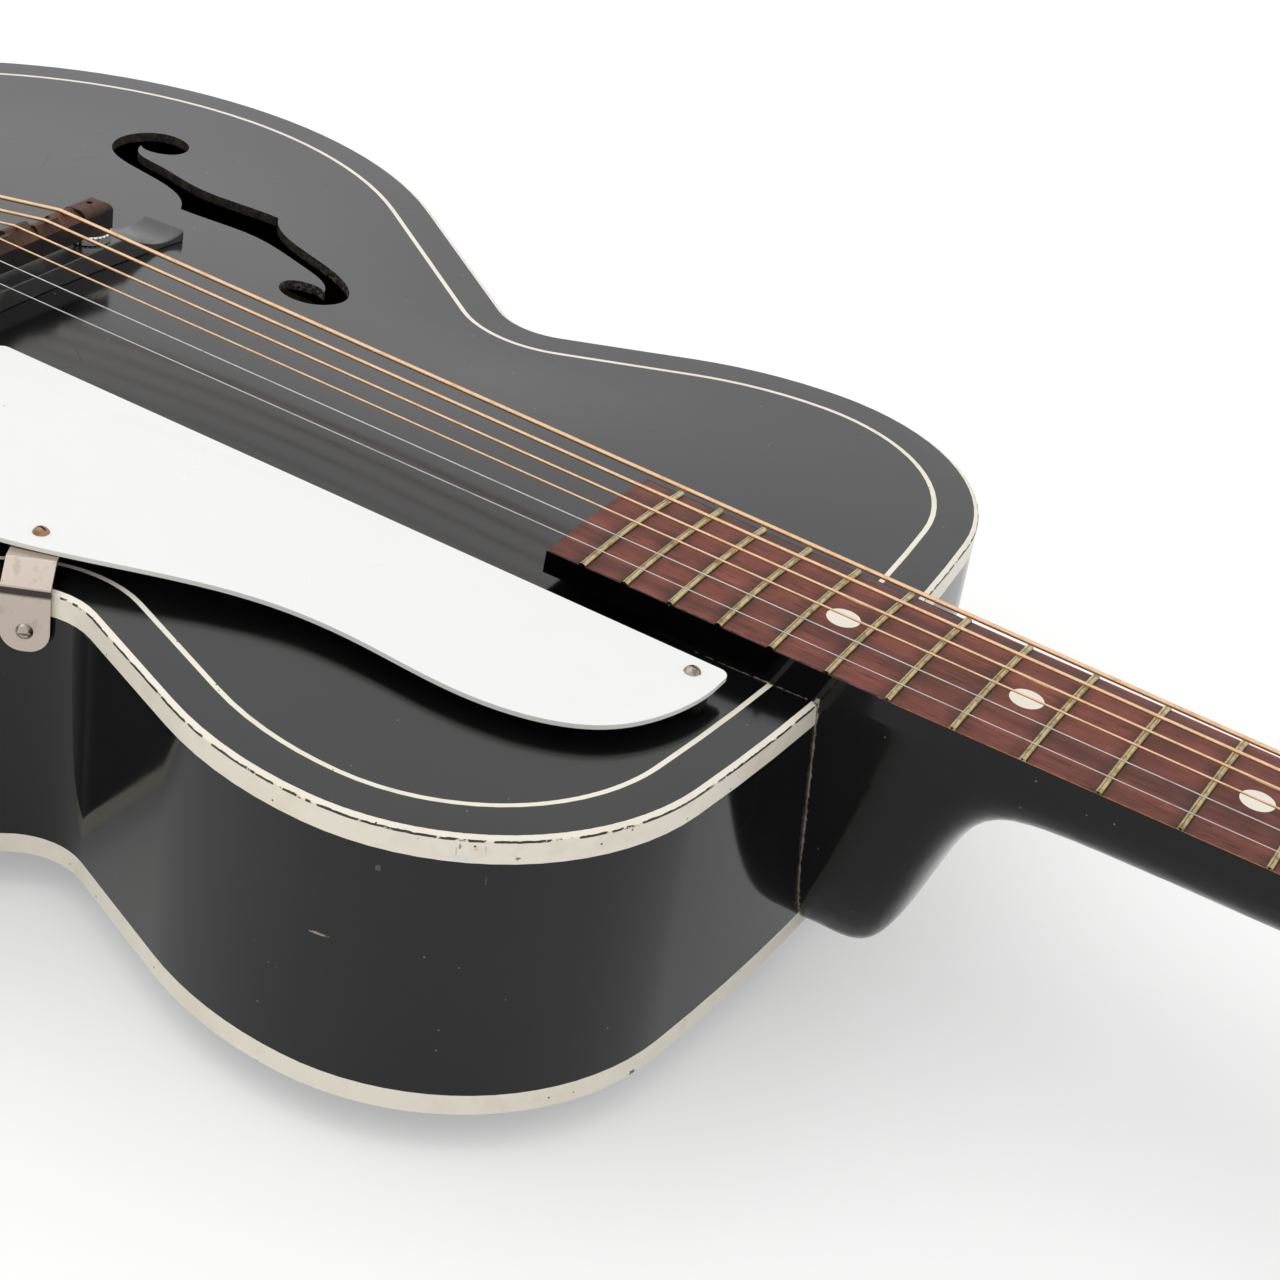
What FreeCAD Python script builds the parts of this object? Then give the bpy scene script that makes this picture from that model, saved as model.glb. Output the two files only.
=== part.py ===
import FreeCAD, Part
import math
import os
from types import SimpleNamespace

import Sketcher
from FreeCAD import Placement, Rotation, Vector

# Archtop guitar, lying on its back. While it is built, the origin is on the rim's top plane
# where the body meets the neck: +X runs to the head, +Y to the bass side, +Z up.
# The last step stands the whole guitar on z = 0, centred over the origin.

doc = FreeCAD.newDocument("archtop_guitar")
sheet = doc.addObject("Spreadsheet::Sheet", "sizes")

driving_sizes = [
    ("body_length", 500, "neck end to tail"),
    ("upper_bout_width", 289.6, "widest place of the upper body"),
    ("waist_width", 226, "narrowest place"),
    ("lower_bout_width", 406, "widest place of the lower body"),
    ("upper_bout_place", 75, "widest upper place, from the neck end"),
    ("waist_place", 171, "waist, from the neck end"),
    ("lower_bout_from_tail", 162, "widest lower place, from the tail"),
    ("neck_end_radius", 754, "flat curve at the neck end"),
    ("tail_radius", 273, "curve at the tail"),
    ("waist_radius", 22, "hollow of the waist"),
    ("waist_ease", 1.41, "slope beside the waist, times the mean slope"),
    ("rim_depth", 82, "height of the sides with both bindings"),
    ("side_wall", 2.6, "thickness of the bent sides"),
    ("top_arch", 9.5, "rise of the top"),
    ("back_arch", 12, "swell of the back"),
    ("arch_power", 2.6, "how quickly the arch falls to the edge"),
    ("top_thickness", 3.2, "top plate"),
    ("back_thickness", 4, "back plate"),
    ("binding_width", 1.5, "binding seen from above"),
    ("top_binding_height", 6.4, "binding strip of the top"),
    ("edge_rise", 0.8, "slope of the top binding's upper face"),
    ("back_binding_height", 6, "binding strip of the back"),
    ("purfling_inset", 12.6, "edge to purfling line"),
    ("purfling_width", 1.5, "purfling line"),
    ("purfling_depth", 1, "depth of its groove"),
    ("lining_width", 6, "kerfed lining"),
    ("lining_height", 14, "kerfed lining"),
    ("neck_block_length", 50, "block under the neck joint"),
    ("neck_block_width", 76, "block under the neck joint"),
    ("tail_block_length", 24, "block at the tail"),
    ("tail_block_width", 64, "block at the tail"),
    ("tone_bar_width", 6.5, "bars under the top"),
    ("tone_bar_height", 13, "bars under the top"),
    ("tone_bar_start", 95, "from the neck end"),
    ("tone_bar_end", 425, "from the neck end"),
    ("tone_bar_spread_front", 54, "between the bars, neck end"),
    ("tone_bar_spread_back", 92, "between the bars, tail end"),
    ("f_hole_place", 288, "middle of the f hole, from the neck end"),
    ("f_hole_side", 110, "middle of the f hole, from the centre line"),
    ("f_hole_span", 134.8, "eye to eye"),
    ("f_tail_eye", 1.2, "eye at the tail end, times the other eye"),
    ("scale_length", 645, "nut to saddle"),
    ("fret_count", 19, "frets"),
    ("joint_fret", 14, "fret at the body's edge"),
    ("nut_width", 44.4, "board at the nut"),
    ("joint_width", 52.7, "board at the body's edge"),
    ("board_edge", 6.6, "thickness of the board at its edge"),
    ("board_radius", 305, "round of the board"),
    ("board_past_fret", 10.9, "board beyond the last fret"),
    ("board_rise", 10, "board's edge above the rim at the joint"),
    ("neck_angle", 2.5, "neck tipped back, degrees"),
    ("fret_width", 2.2, "crown"),
    ("fret_height", 1, "crown"),
    ("fret_hollow", 1, "hole in the folded crown"),
    ("tang_width", 0.6, "blade in the slot"),
    ("tang_depth", 2, "blade in the slot"),
    ("marker_radius", 4.6, "inlaid dot"),
    ("marker_depth", 1.5, "inlaid dot"),
    ("nut_thickness", 5, "along the neck"),
    ("string_over_fret", 0.3, "string over the first fret at the nut"),
    ("tongue_length", 50, "neck tongue on the top plate"),
    ("shaft_depth_nut", 14, "neck wood under the board, at the nut"),
    ("shaft_depth_joint", 18.7, "neck wood under the board, before the heel"),
    ("heel_reach", 35, "heel forward of the body, half way down"),
    ("heel_sharpness", 7, "how steep the heel's front is"),
    ("heel_foot_width", 21.5, "heel at the bottom"),
    ("heel_cap_gap", 1, "heel ends this far above the back's edge"),
    ("tenon_length", 16, "dovetail into the neck block"),
    ("tenon_width", 18, "dovetail at the body's edge"),
    ("tenon_flare", 3, "dovetail grows by this on each side"),
    ("tenon_depth", 62, "dovetail below the rim"),
    ("head_angle", 14, "head tipped back from the neck, degrees"),
    ("head_length", 164, "nut to crown corner"),
    ("head_crown", 5, "crown beyond the corners"),
    ("head_thickness", 14.5, "head wood"),
    ("head_shoulder_width", 62, "head above the nut"),
    ("head_shoulder_place", 30, "shoulder from the nut"),
    ("head_tip_width", 74, "head at the crown"),
    ("veneer_thickness", 1.5, "face of the head"),
    ("compensation", 1.6, "saddle behind the scale length"),
    ("nut_spread", 36, "outer strings at the nut"),
    ("saddle_spread", 52, "outer strings at the saddle"),
    ("tail_spread", 50, "outer strings at the tailpiece"),
    ("string_height", 29, "middle of the string plane over the rim at the saddle"),
    ("gauge_1", 0.33, "string"),
    ("gauge_2", 0.43, "string"),
    ("gauge_3", 0.61, "string"),
    ("gauge_4", 0.81, "string"),
    ("gauge_5", 1.07, "string"),
    ("gauge_6", 1.35, "string"),
    ("string_turns", 2, "turns on a post"),
    ("turn_gap", 0.55, "between turns"),
    ("string_clearance", 0.06, "round a string in a notch or hole"),
    ("saddle_bend", 6, "string bend over the saddle"),
    ("nut_bend", 9, "string bend over the nut"),
    ("base_length", 152, "bridge base across the top"),
    ("base_width", 16, "bridge base"),
    ("base_top", 15.8, "bridge base, above the rim"),
    ("base_flat", 94, "level part of the base"),
    ("wing_height", 9.9, "end of the base's wing, above the rim"),
    ("wing_dip", 9.3, "lowest place of the wing's scoop, above the rim"),
    ("post_spread", 76, "bridge posts"),
    ("bridge_post_radius", 2, "bridge posts"),
    ("wheel_radius", 7, "thumbwheel"),
    ("wheel_thickness", 3, "thumbwheel"),
    ("wheel_notches", 28, "knurl"),
    ("notch_depth", 0.4, "knurl"),
    ("saddle_length", 88, "bridge saddle"),
    ("saddle_width", 9, "bridge saddle"),
    ("saddle_shoulder", 6.2, "saddle up to its facets"),
    ("saddle_end_height", 8.6, "plain ends of the saddle"),
    ("saddle_end_length", 13, "plain ends of the saddle"),
    ("saddle_end_round", 3, "rounded upper edges of the ends"),
    ("saddle_slot", 1, "radius of the opening over a post"),
    ("facet_stagger", 1.5, "facet crests step to and fro"),
    ("saddle_notch", 0.3, "string sunk in its notch"),
    ("flat_clearance", 0.1, "flat faces that turn or lift off each other"),
    ("running_clearance", 0.06, "radial, round turning shafts"),
    ("guard_thickness", 1.4, "pickguard"),
    ("guard_rise", 8.33, "pickguard face over the rim at the neck end"),
    ("guard_slope_x", 0.0224, "pickguard rises to the bridge"),
    ("guard_slope_y", 0.0357, "pickguard falls to the edge"),
    ("guard_inner_edge", 38.6, "straight edge from the centre line, at the front"),
    ("guard_inner_rear", 33, "straight edge from the centre line, at the back"),
    ("guard_front", 20, "front end from the neck end"),
    ("guard_back", 262, "bridge end from the neck end"),
    ("guard_corner", 3, "rounded corners"),
    ("guard_screw_x", 28, "front screw from the neck end"),
    ("guard_screw_y", 44.6, "front screw from the centre line"),
    ("spacer_radius", 5, "post under the pickguard"),
    ("screw_head_radius", 2.3, "pickguard screws"),
    ("screw_head_height", 1.5, "pickguard screws"),
    ("screw_shank_radius", 1.2, "all wood screws"),
    ("bracket_place", 181.4, "bracket from the neck end"),
    ("bracket_width", 13, "nickel strip"),
    ("bracket_thickness", 1.2, "nickel strip"),
    ("bracket_drop", 17, "strip below the rim"),
    ("bracket_inner", 21, "strip under the pickguard"),
    ("side_screw_drop", 11, "bracket screw below the rim"),
    ("trapeze_place", 398, "tailpiece crossbar from the neck end"),
    ("trapeze_height", 14.5, "strings in the crossbar, above the rim"),
    ("crossbar_width", 9, "crossbar"),
    ("crossbar_height", 6, "crossbar"),
    ("crossbar_length", 68, "crossbar"),
    ("rod_radius", 2.2, "tailpiece rods"),
    ("rod_spread", 54, "rods at the crossbar"),
    ("hinge_place", 22, "hinge pin from the tail"),
    ("hinge_height", 4.4, "hinge pin above the rim"),
    ("hinge_radius", 3.2, "hinge barrel"),
    ("hinge_width", 36, "hinge"),
    ("hinge_sheet", 1.6, "hinge plate"),
    ("hinge_drop", 56, "hinge plate down the tail"),
    ("pin_drop", 38, "end pin below the rim"),
    ("pin_head_radius", 7, "end pin"),
    ("pin_head_length", 6, "end pin"),
    ("pin_neck_radius", 4.5, "end pin"),
    ("pin_neck_length", 8, "end pin"),
    ("pin_shank_radius", 4, "end pin in the tail block"),
    ("pin_shank_length", 18, "end pin in the tail block"),
    ("first_post", 38, "first tuner from the nut"),
    ("post_pitch", 35.7, "tuner to tuner"),
    ("post_side", 19, "tuner from the head's centre line"),
    ("post_radius", 3, "string post"),
    ("post_top", 13, "string post above the head"),
    ("wind_height", 8, "string reaches the post this high"),
    ("gear_teeth", 14, "wheel"),
    ("worm_pitch", 2.1, "one tooth for each turn of the key"),
    ("worm_radius", 2.6, "pitch line of the worm"),
    ("tooth_addendum", 0.62, "outside the pitch line"),
    ("tooth_dedendum", 0.85, "inside the pitch line"),
    ("tooth_width", 0.78, "on the pitch line"),
    ("flank_slope", 0.26, "flank, run over rise"),
    ("gear_thickness", 2.5, "wheel"),
    ("worm_length", 8.4, "thread"),
    ("journal_radius", 1.5, "worm shaft in its ears"),
    ("plate_thickness", 1.1, "tuner plate"),
    ("plate_width", 16.4, "tuner plate"),
    ("plate_end", 19, "tuner plate beyond the end posts"),
    ("ear_thickness", 1.1, "bearing ear"),
    ("ear_width", 8, "bearing ear"),
    ("ear_gap", 0.4, "thread to ear"),
    ("worm_gap", 0.35, "thread to plate"),
    ("button_gap", 3, "button beyond the head's widest edge"),
    ("button_length", 15, "tuner button"),
    ("button_width", 17, "tuner button"),
    ("button_thickness", 7, "tuner button"),
    ("button_round", 2.4, "tuner button edges"),
    ("ferrule_radius", 5.5, "collar on the head's face"),
    ("ferrule_flange", 1.2, "collar on the head's face"),
    ("sleeve_radius", 4.2, "collar in the head"),
    ("sleeve_length", 7, "collar in the head"),
    ("plate_screw_grip", 8, "tuner plate screws in the head"),
    ("plate_screw_inset", 4, "tuner plate screws from its ends"),
    ("plate_screw_shift", 5, "tuner plate screws from the posts' line"),
    ("ball_length", 4, "ball end of a string"),
    ("ball_radius", 2, "ball end of a string"),
    ("guard_screw_length", 5, "pickguard screws"),
    ("side_screw_length", 10, "bracket screw"),
    ("tail_screw_length", 12, "hinge plate screws"),
    ("hinge_pin_radius", 1.4, "hinge pin"),
    ("bridge_post_grip", 4, "bridge posts in the base"),
]
for row, (alias, value, meaning) in enumerate(driving_sizes, start=1):
    sheet.set("A%d" % row, meaning)
    sheet.set("B%d" % row, str(value))
    sheet.setAlias("B%d" % row, alias)
doc.recompute()
s = SimpleNamespace(**{alias: float(sheet.get(alias)) for alias, value, meaning in driving_sizes})

pieces = {}


# Small helpers for objects of the document

def feature(label, shape, place=None):
    piece = doc.addObject("Part::Feature", label)
    piece.Label = label
    piece.Shape = shape
    if place is not None:
        piece.Placement = place
    pieces[label] = piece
    return piece


def keep(piece, label, place=None):
    piece.Label = label
    if place is not None:
        piece.Placement = place
    pieces[label] = piece
    return piece


def primitive(kind, name, place=None, **expressions):
    solid = doc.addObject(kind, name)
    for prop, text in expressions.items():
        solid.setExpression(prop, text)
    if place is not None:
        solid.Placement = place
    return solid


def origin_plane(body, role):
    return [item for item in body.Origin.OriginFeatures if item.Role == role][0]


def outline(body, role, name, *loops):
    # each loop is a list of corners, and each corner a pair of expressions on the sheet
    sketch = body.newObject("Sketcher::SketchObject", name)
    sketch.AttachmentSupport = (origin_plane(body, role), [""])
    sketch.MapMode = "FlatFace"
    first = 0
    for corners in loops:
        count = len(corners)
        turn = 2 * math.pi / count
        start = [Vector(10 * math.cos(turn * k), 10 * math.sin(turn * k), 0) for k in range(count)]
        for k in range(count):
            sketch.addGeometry(Part.LineSegment(start[k], start[(k + 1) % count]), False)
        for k in range(count):
            joined = Sketcher.Constraint("Coincident", first + k, 2, first + (k + 1) % count, 1)
            sketch.addConstraint(joined)
        for k, (across, along) in enumerate(corners):
            for kind, guess, text in (("DistanceX", start[k].x, across), ("DistanceY", start[k].y, along)):
                index = sketch.addConstraint(Sketcher.Constraint(kind, -1, 1, first + k, 1, guess))
                sketch.setExpression("Constraints[%d]" % index, text)
        first += count
    return sketch


def circles(body, role, name, rounds):
    # each round is its middle and its radius, as expressions on the sheet
    sketch = body.newObject("Sketcher::SketchObject", name)
    sketch.AttachmentSupport = (origin_plane(body, role), [""])
    sketch.MapMode = "FlatFace"
    for k, (across, along, radius) in enumerate(rounds):
        sketch.addGeometry(Part.Circle(Vector(5 * k + 1, 1, 0), Vector(0, 0, 1), 1), False)
        limits = (
            (Sketcher.Constraint("DistanceX", -1, 1, k, 3, 5 * k + 1), across),
            (Sketcher.Constraint("DistanceY", -1, 1, k, 3, 1), along),
            (Sketcher.Constraint("Radius", k, 1), radius),
        )
        for limit, text in limits:
            index = sketch.addConstraint(limit)
            sketch.setExpression("Constraints[%d]" % index, text)
    return sketch


def revolved(body, sketch, name):
    turned = body.newObject("PartDesign::Revolution", name)
    turned.Profile = sketch
    turned.ReferenceAxis = (sketch, ["V_Axis"])
    turned.Angle = 360
    return turned


def padded(body, sketch, name, length, reverse=False, middle=False):
    pad = body.newObject("PartDesign::Pad", name)
    pad.Profile = sketch
    pad.setExpression("Length", length)
    pad.Reversed = reverse
    if middle:
        pad.SideType = "Symmetric"
    return pad


def pocketed(body, sketch, name, length, reverse=False, middle=False):
    doc.recompute()
    before = body.Shape.Volume
    cut = body.newObject("PartDesign::Pocket", name)
    cut.Profile = sketch
    cut.setExpression("Length", length)
    cut.Reversed = reverse
    if middle:
        cut.SideType = "Symmetric"
    doc.recompute()
    if body.Shape.Volume > before - 1e-6:
        raise ValueError("%s cuts nothing" % name)
    return cut


def block(x0, x1, y0, y1, z0, z1):
    return Part.makeBox(x1 - x0, y1 - y0, z1 - z0, Vector(x0, y0, z0))


def rod(start, end, radius):
    return Part.makeCylinder(radius, start.distanceToPoint(end), start, end - start)


def compound_of(shapes):
    return Part.makeCompound(shapes)


# Rim outline: arcs and tangent lines, all at one inset from the edge

def bout_radius(end_radius, place, half):
    # arc that meets the end arc and is level at the bout's widest place
    return (2 * place * end_radius - place ** 2 - half ** 2) / (2 * (end_radius - half))


def flank_sweep(run, fall):
    # two arcs and a line between level tangents: turn of each arc, and both radii together
    sweep = s.waist_ease * math.atan2(fall, run)
    both = (run * math.sin(sweep) - fall * math.cos(sweep)) / (1 - math.cos(sweep))
    return sweep, both


def rim_arcs():
    # half the rim from the neck end to the tail: centre, radius (negative where hollow),
    # and the directions of the outward normal at both ends
    upper = s.upper_bout_width / 2
    waist = s.waist_width / 2
    lower = s.lower_bout_width / 2
    lower_place = s.body_length - s.lower_bout_from_tail
    shoulder = bout_radius(s.neck_end_radius, s.upper_bout_place, upper)
    tail_side = bout_radius(s.tail_radius, s.lower_bout_from_tail, lower)
    front_sweep, front_both = flank_sweep(s.waist_place - s.upper_bout_place, upper - waist)
    back_sweep, back_both = flank_sweep(lower_place - s.waist_place, lower - waist)
    front = front_both - s.waist_radius
    back = back_both - s.waist_radius
    level = math.pi / 2
    neck_turn = math.atan2(upper - shoulder, s.neck_end_radius - s.upper_bout_place)
    tail_turn = math.atan2(lower - tail_side, s.lower_bout_from_tail - s.tail_radius)
    return [
        (Vector(-s.neck_end_radius, 0), s.neck_end_radius, 0, neck_turn),
        (Vector(-s.upper_bout_place, upper - shoulder), shoulder, neck_turn, level),
        (Vector(-s.upper_bout_place, upper - front), front, level, level + front_sweep),
        (Vector(-s.waist_place, waist + s.waist_radius), -s.waist_radius,
         level + front_sweep, level - back_sweep),
        (Vector(-lower_place, lower - back), back, level - back_sweep, level),
        (Vector(-lower_place, lower - tail_side), tail_side, level, tail_turn),
        (Vector(s.tail_radius - s.body_length, 0), s.tail_radius, tail_turn, math.pi),
    ]


def on_arc(arc, inset, direction):
    centre, radius = arc[0], arc[1]
    return centre + Vector(math.cos(direction), math.sin(direction)) * (radius - inset)


def rim_points(inset, steps):
    points = []
    for arc in rim_arcs():
        for k in range(steps + 1):
            points.append(on_arc(arc, inset, arc[2] + (arc[3] - arc[2]) * k / steps))
    return points


def rim_wire(inset):
    edges = []
    half = rim_arcs()
    sides = [(arc, 1) for arc in half] + [(arc, -1) for arc in reversed(half)]
    corner = None
    for arc, side in sides:
        span = (arc[2], arc[3]) if side > 0 else (arc[3], arc[2])
        ends = [on_arc(arc, inset, turn) for turn in (span[0], sum(span) / 2, span[1])]
        ends = [Vector(point.x, point.y * side) for point in ends]
        if corner is not None and corner.distanceToPoint(ends[0]) > 1e-6:
            edges.append(Part.makeLine(corner, ends[0]))
        edges.append(Part.Arc(*ends).toShape())
        corner = ends[2]
    return Part.Wire(Part.__sortEdges__(edges))


def rim_prism(inset, low, high):
    face = Part.Face(rim_wire(inset))
    face.translate(Vector(0, 0, low))
    return face.extrude(Vector(0, 0, high - low))


def rim_ring(outer, inner, low, high):
    return rim_prism(outer, low, high).cut(rim_prism(inner, low, high))


edge_points = rim_points(0, 24)


def half_width(x):
    # half the body's width at a place along it, with the end curves taken as they are
    place = min(max(x, -s.body_length + 1e-3), -1e-3)
    for near, far in zip(edge_points, edge_points[1:]):
        if far.x <= place <= near.x and near.x - far.x > 1e-9:
            return near.y + (far.y - near.y) * (near.x - place) / (near.x - far.x)
    return edge_points[-1].y


# Arched plates

def arch_share(x, y):
    half_length = s.body_length / 2
    along = min(1, abs(x + half_length) / half_length)
    across = min(1, abs(y) / max(half_width(x), 1))
    return (1 - along ** 2) ** 2 * (1 - across ** 2) ** s.arch_power


arch_stations = 19
arch_rows = 15


def arch_face(level, rise):
    margin = 6
    half = s.lower_bout_width / 2 + margin
    grid = []
    for k in range(arch_stations):
        x = margin - (s.body_length + 2 * margin) * k / (arch_stations - 1)
        row = []
        for j in range(arch_rows):
            y = half * (2 * j / (arch_rows - 1) - 1)
            row.append(Vector(x, y, level + rise * arch_share(x, y)))
        grid.append(row)
    surface = Part.BSplineSurface()
    surface.interpolate(grid)
    return surface.toShape()


def slab(face, shift, depth):
    moved = face.copy()
    moved.translate(Vector(0, 0, shift))
    return moved.extrude(Vector(0, 0, depth))


plenty = s.rim_depth + s.back_arch + s.top_arch
top_face = arch_face(s.edge_rise, s.top_arch - s.edge_rise)
back_face = arch_face(-s.rim_depth, -s.back_arch)
below_top = slab(top_face, 0, -plenty)
body_zone = below_top.common(rim_prism(0, -plenty, plenty))
under_top_plate = slab(top_face, -s.top_thickness, -plenty)
over_back_plate = slab(back_face, s.back_thickness, plenty)

# Half of an f hole's edge, in shares of its span from eye to eye. A half turn about its
# middle gives the other half. The first list runs from the outer nick round the eye to the
# tip of the tongue inside it, the second from there to the other nick.
f_hook = [(0.09, 0.08), (0.18, -0.01), (0.33, -0.073), (0.46, -0.15), (0.5, -0.238), (0.457, -0.317),
          (0.366, -0.3), (0.352, -0.232), (0.395, -0.208), (0.44, -0.222)]
f_stem = [(0.44, -0.222), (0.4, -0.172), (0.318, -0.134), (0.227, -0.1), (0.13, -0.076),
          (0.01, -0.078), (-0.09, -0.08)]
f_eye = Vector(0.42, -0.262)
f_eye_start = 0.3
f_eye_blend = 0.1


def f_spot(point, growth):
    # the eye grows about its own middle, and the stem keeps its width
    spot = Vector(*point)
    in_eye = min(1, max(0, (spot.x - f_eye_start) / f_eye_blend))
    return f_eye + (spot - f_eye) * (1 + (growth - 1) * in_eye)


def f_hole(side):
    edges = []
    for turn, growth in ((1, 1), (-1, s.f_tail_eye)):
        for points in (f_hook, f_stem):
            spots = [f_spot(point, growth) * turn * s.f_hole_span for point in points]
            spots = [Vector(spot.x, spot.y * side) for spot in spots]
            curve = Part.BSplineCurve()
            curve.interpolate(spots)
            edges.append(curve.toShape())
    face = Part.Face(Part.Wire(Part.__sortEdges__(edges)))
    face.translate(Vector(-s.f_hole_place, side * s.f_hole_side, -plenty))
    return face.extrude(Vector(0, 0, 2 * plenty))


# Neck frame: x along the neck from the body's edge, z up from the rim, tipped back
neck_place = Placement(Vector(), Rotation(Vector(0, 1, 0), s.neck_angle))
nut_x = s.scale_length * (1 - 2 ** (-s.joint_fret / 12))
glue_z = s.board_rise - s.board_edge
board_end_x = nut_x - s.scale_length * (1 - 2 ** (-s.fret_count / 12)) - s.board_past_fret
head_x = nut_x + s.nut_thickness
head_place = neck_place * Placement(Vector(head_x, 0, glue_z), Rotation(Vector(0, 1, 0), s.head_angle))


def board_width(x):
    return s.nut_width + (s.joint_width - s.nut_width) * (nut_x - x) / nut_x


def board_top(y):
    # the board is part of one long round bar, so its middle is level from end to end
    edge = math.sqrt(s.board_radius ** 2 - (s.joint_width / 2) ** 2)
    return s.board_rise + math.sqrt(s.board_radius ** 2 - y ** 2) - edge


def fret_x(number):
    return nut_x - s.scale_length * (1 - 2 ** (-number / 12))


# Tuner layout on the head: u from the nut, v across, n up from the head's wood
gear_radius = s.gear_teeth * s.worm_pitch / (2 * math.pi)
centre_distance = gear_radius + s.worm_radius
worm_tip = s.worm_radius + s.tooth_addendum
worm_axis_n = -s.head_thickness - s.plate_thickness - s.worm_gap - worm_tip


def tuner_side(number):
    return 1 if number > 3 else -1


def tuner_u(number):
    rank = 6 - number if number > 3 else number - 1
    return s.first_post + s.post_pitch * rank


def tuner_spot(number, n=0, u_shift=0):
    return Vector(tuner_u(number) + u_shift, tuner_side(number) * s.post_side, n)


plate_screw_u = [
    s.first_post - s.plate_end + s.plate_screw_inset,
    s.first_post + s.post_pitch * 0.58,
    s.first_post + s.post_pitch * 1.58,
    s.first_post + s.post_pitch * 2 + s.plate_end - s.plate_screw_inset,
]
plate_screw_v = s.post_side - s.plate_screw_shift


# Neck: shaft, heel, tongue, dovetail and head in one piece of wood

def neck_depth(x):
    share = min(max(x, 0), nut_x) / nut_x
    shaft = s.shaft_depth_joint + (s.shaft_depth_nut - s.shaft_depth_joint) * share
    heel = s.rim_depth + glue_z - s.heel_cap_gap
    return shaft + (heel - shaft) / (1 + (max(x, 0) / s.heel_reach) ** s.heel_sharpness)


def neck_section(x):
    half = board_width(x) / 2
    depth = neck_depth(x)
    heel = s.rim_depth + glue_z
    share = (depth - s.shaft_depth_nut) / (heel - s.shaft_depth_nut)
    taper = max(0, share) * (1 - s.heel_foot_width / (2 * half))
    bluntness = 2.2 + 8 * share
    side = []
    for down in (0, 0.2, 0.4, 0.6, 0.76, 0.88, 0.96):
        side.append((half * (1 - taper * down) * math.sqrt(1 - down ** bluntness), -depth * down))
    points = [Vector(x, y, glue_z + z) for y, z in side]
    points.append(Vector(x, 0, glue_z - depth))
    return points + [Vector(x, -y, glue_z + z) for y, z in reversed(side)]


def neck_stations():
    # close together on the heel, then wider and wider apart up to the nut
    near = [s.heel_reach * share for share in (-0.25, 0, 0.2, 0.38, 0.53, 0.66, 0.785, 0.91, 1.035)]
    start = s.heel_reach * 1.165
    growth = 1.3
    count = 12
    far = [start + (head_x - start) * (growth ** k - 1) / (growth ** count - 1) for k in range(count + 1)]
    return near + far


def neck_shaft():
    surface = Part.BSplineSurface()
    surface.interpolate([neck_section(x) for x in neck_stations()])
    under = surface.toShape()
    ends = []
    for edge in under.Edges:
        box = edge.BoundBox
        if box.XLength < 1e-3:
            ends.append(edge)
    caps = []
    for edge in ends:
        first, last = edge.Vertexes[0].Point, edge.Vertexes[-1].Point
        caps.append(Part.Face(Part.Wire([edge, Part.makeLine(last, first)])))
    stations = neck_stations()
    rim = [neck_section(stations[0])[0], neck_section(stations[-1])[0],
           neck_section(stations[-1])[-1], neck_section(stations[0])[-1]]
    lid = Part.Face(Part.makePolygon(rim + rim[:1]))
    shell = Part.makeShell([under, lid] + caps)
    shell.sewShape()
    solid = Part.Solid(shell)
    if solid.Volume < 0:
        solid.reverse()
    return solid


def tenon():
    deep = s.tenon_width / 2 + s.tenon_flare
    half = s.tenon_width / 2
    corners = [Vector(2, half), Vector(0, half), Vector(-s.tenon_length, deep),
               Vector(-s.tenon_length, -deep), Vector(0, -half), Vector(2, -half)]
    face = Part.Face(Part.makePolygon(corners + corners[:1]))
    face.translate(Vector(0, 0, -s.tenon_depth))
    return face.extrude(Vector(0, 0, s.tenon_depth + glue_z))


def head_outline():
    nut_half = s.nut_width / 2
    shoulder = s.head_shoulder_width / 2
    tip = s.head_tip_width / 2
    run = s.head_shoulder_place
    middle = Vector(run / 2, (nut_half + shoulder) / 2)
    radius = (run ** 2 + (shoulder - nut_half) ** 2) / (4 * (shoulder - nut_half))
    bend = math.asin(run / 2 / radius) / 2
    low = Vector(radius * math.sin(bend), nut_half + radius * (1 - math.cos(bend)))
    high = Vector(run - radius * math.sin(bend), shoulder - radius * (1 - math.cos(bend)))
    upper = [
        Part.Arc(Vector(0, nut_half), low, middle).toShape(),
        Part.Arc(middle, high, Vector(run, shoulder)).toShape(),
        Part.makeLine(Vector(run, shoulder), Vector(s.head_length, tip)),
    ]
    lower = [edge.mirror(Vector(), Vector(0, 1, 0)) for edge in upper]
    crown = Part.Arc(Vector(s.head_length, tip), Vector(s.head_length + s.head_crown, 0),
                     Vector(s.head_length, -tip)).toShape()
    back = Part.makeLine(Vector(0, nut_half), Vector(0, -nut_half))
    return Part.Wire(Part.__sortEdges__(upper + [crown] + lower + [back]))


def head_slab(low, high):
    face = Part.Face(head_outline())
    face.translate(Vector(0, 0, low))
    return face.extrude(Vector(0, 0, high - low))


def on_head(shape):
    moved = shape.copy()
    moved.Placement = head_place * moved.Placement
    return moved


def on_neck(shape):
    moved = shape.copy()
    moved.Placement = neck_place * moved.Placement
    return moved


def sleeve_holes(low, high):
    return [rod(tuner_spot(k, low), tuner_spot(k, high), s.sleeve_radius) for k in range(1, 7)]


def plate_screw_spots():
    return [Vector(u, side * plate_screw_v, 0) for side in (1, -1) for u in plate_screw_u]


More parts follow.
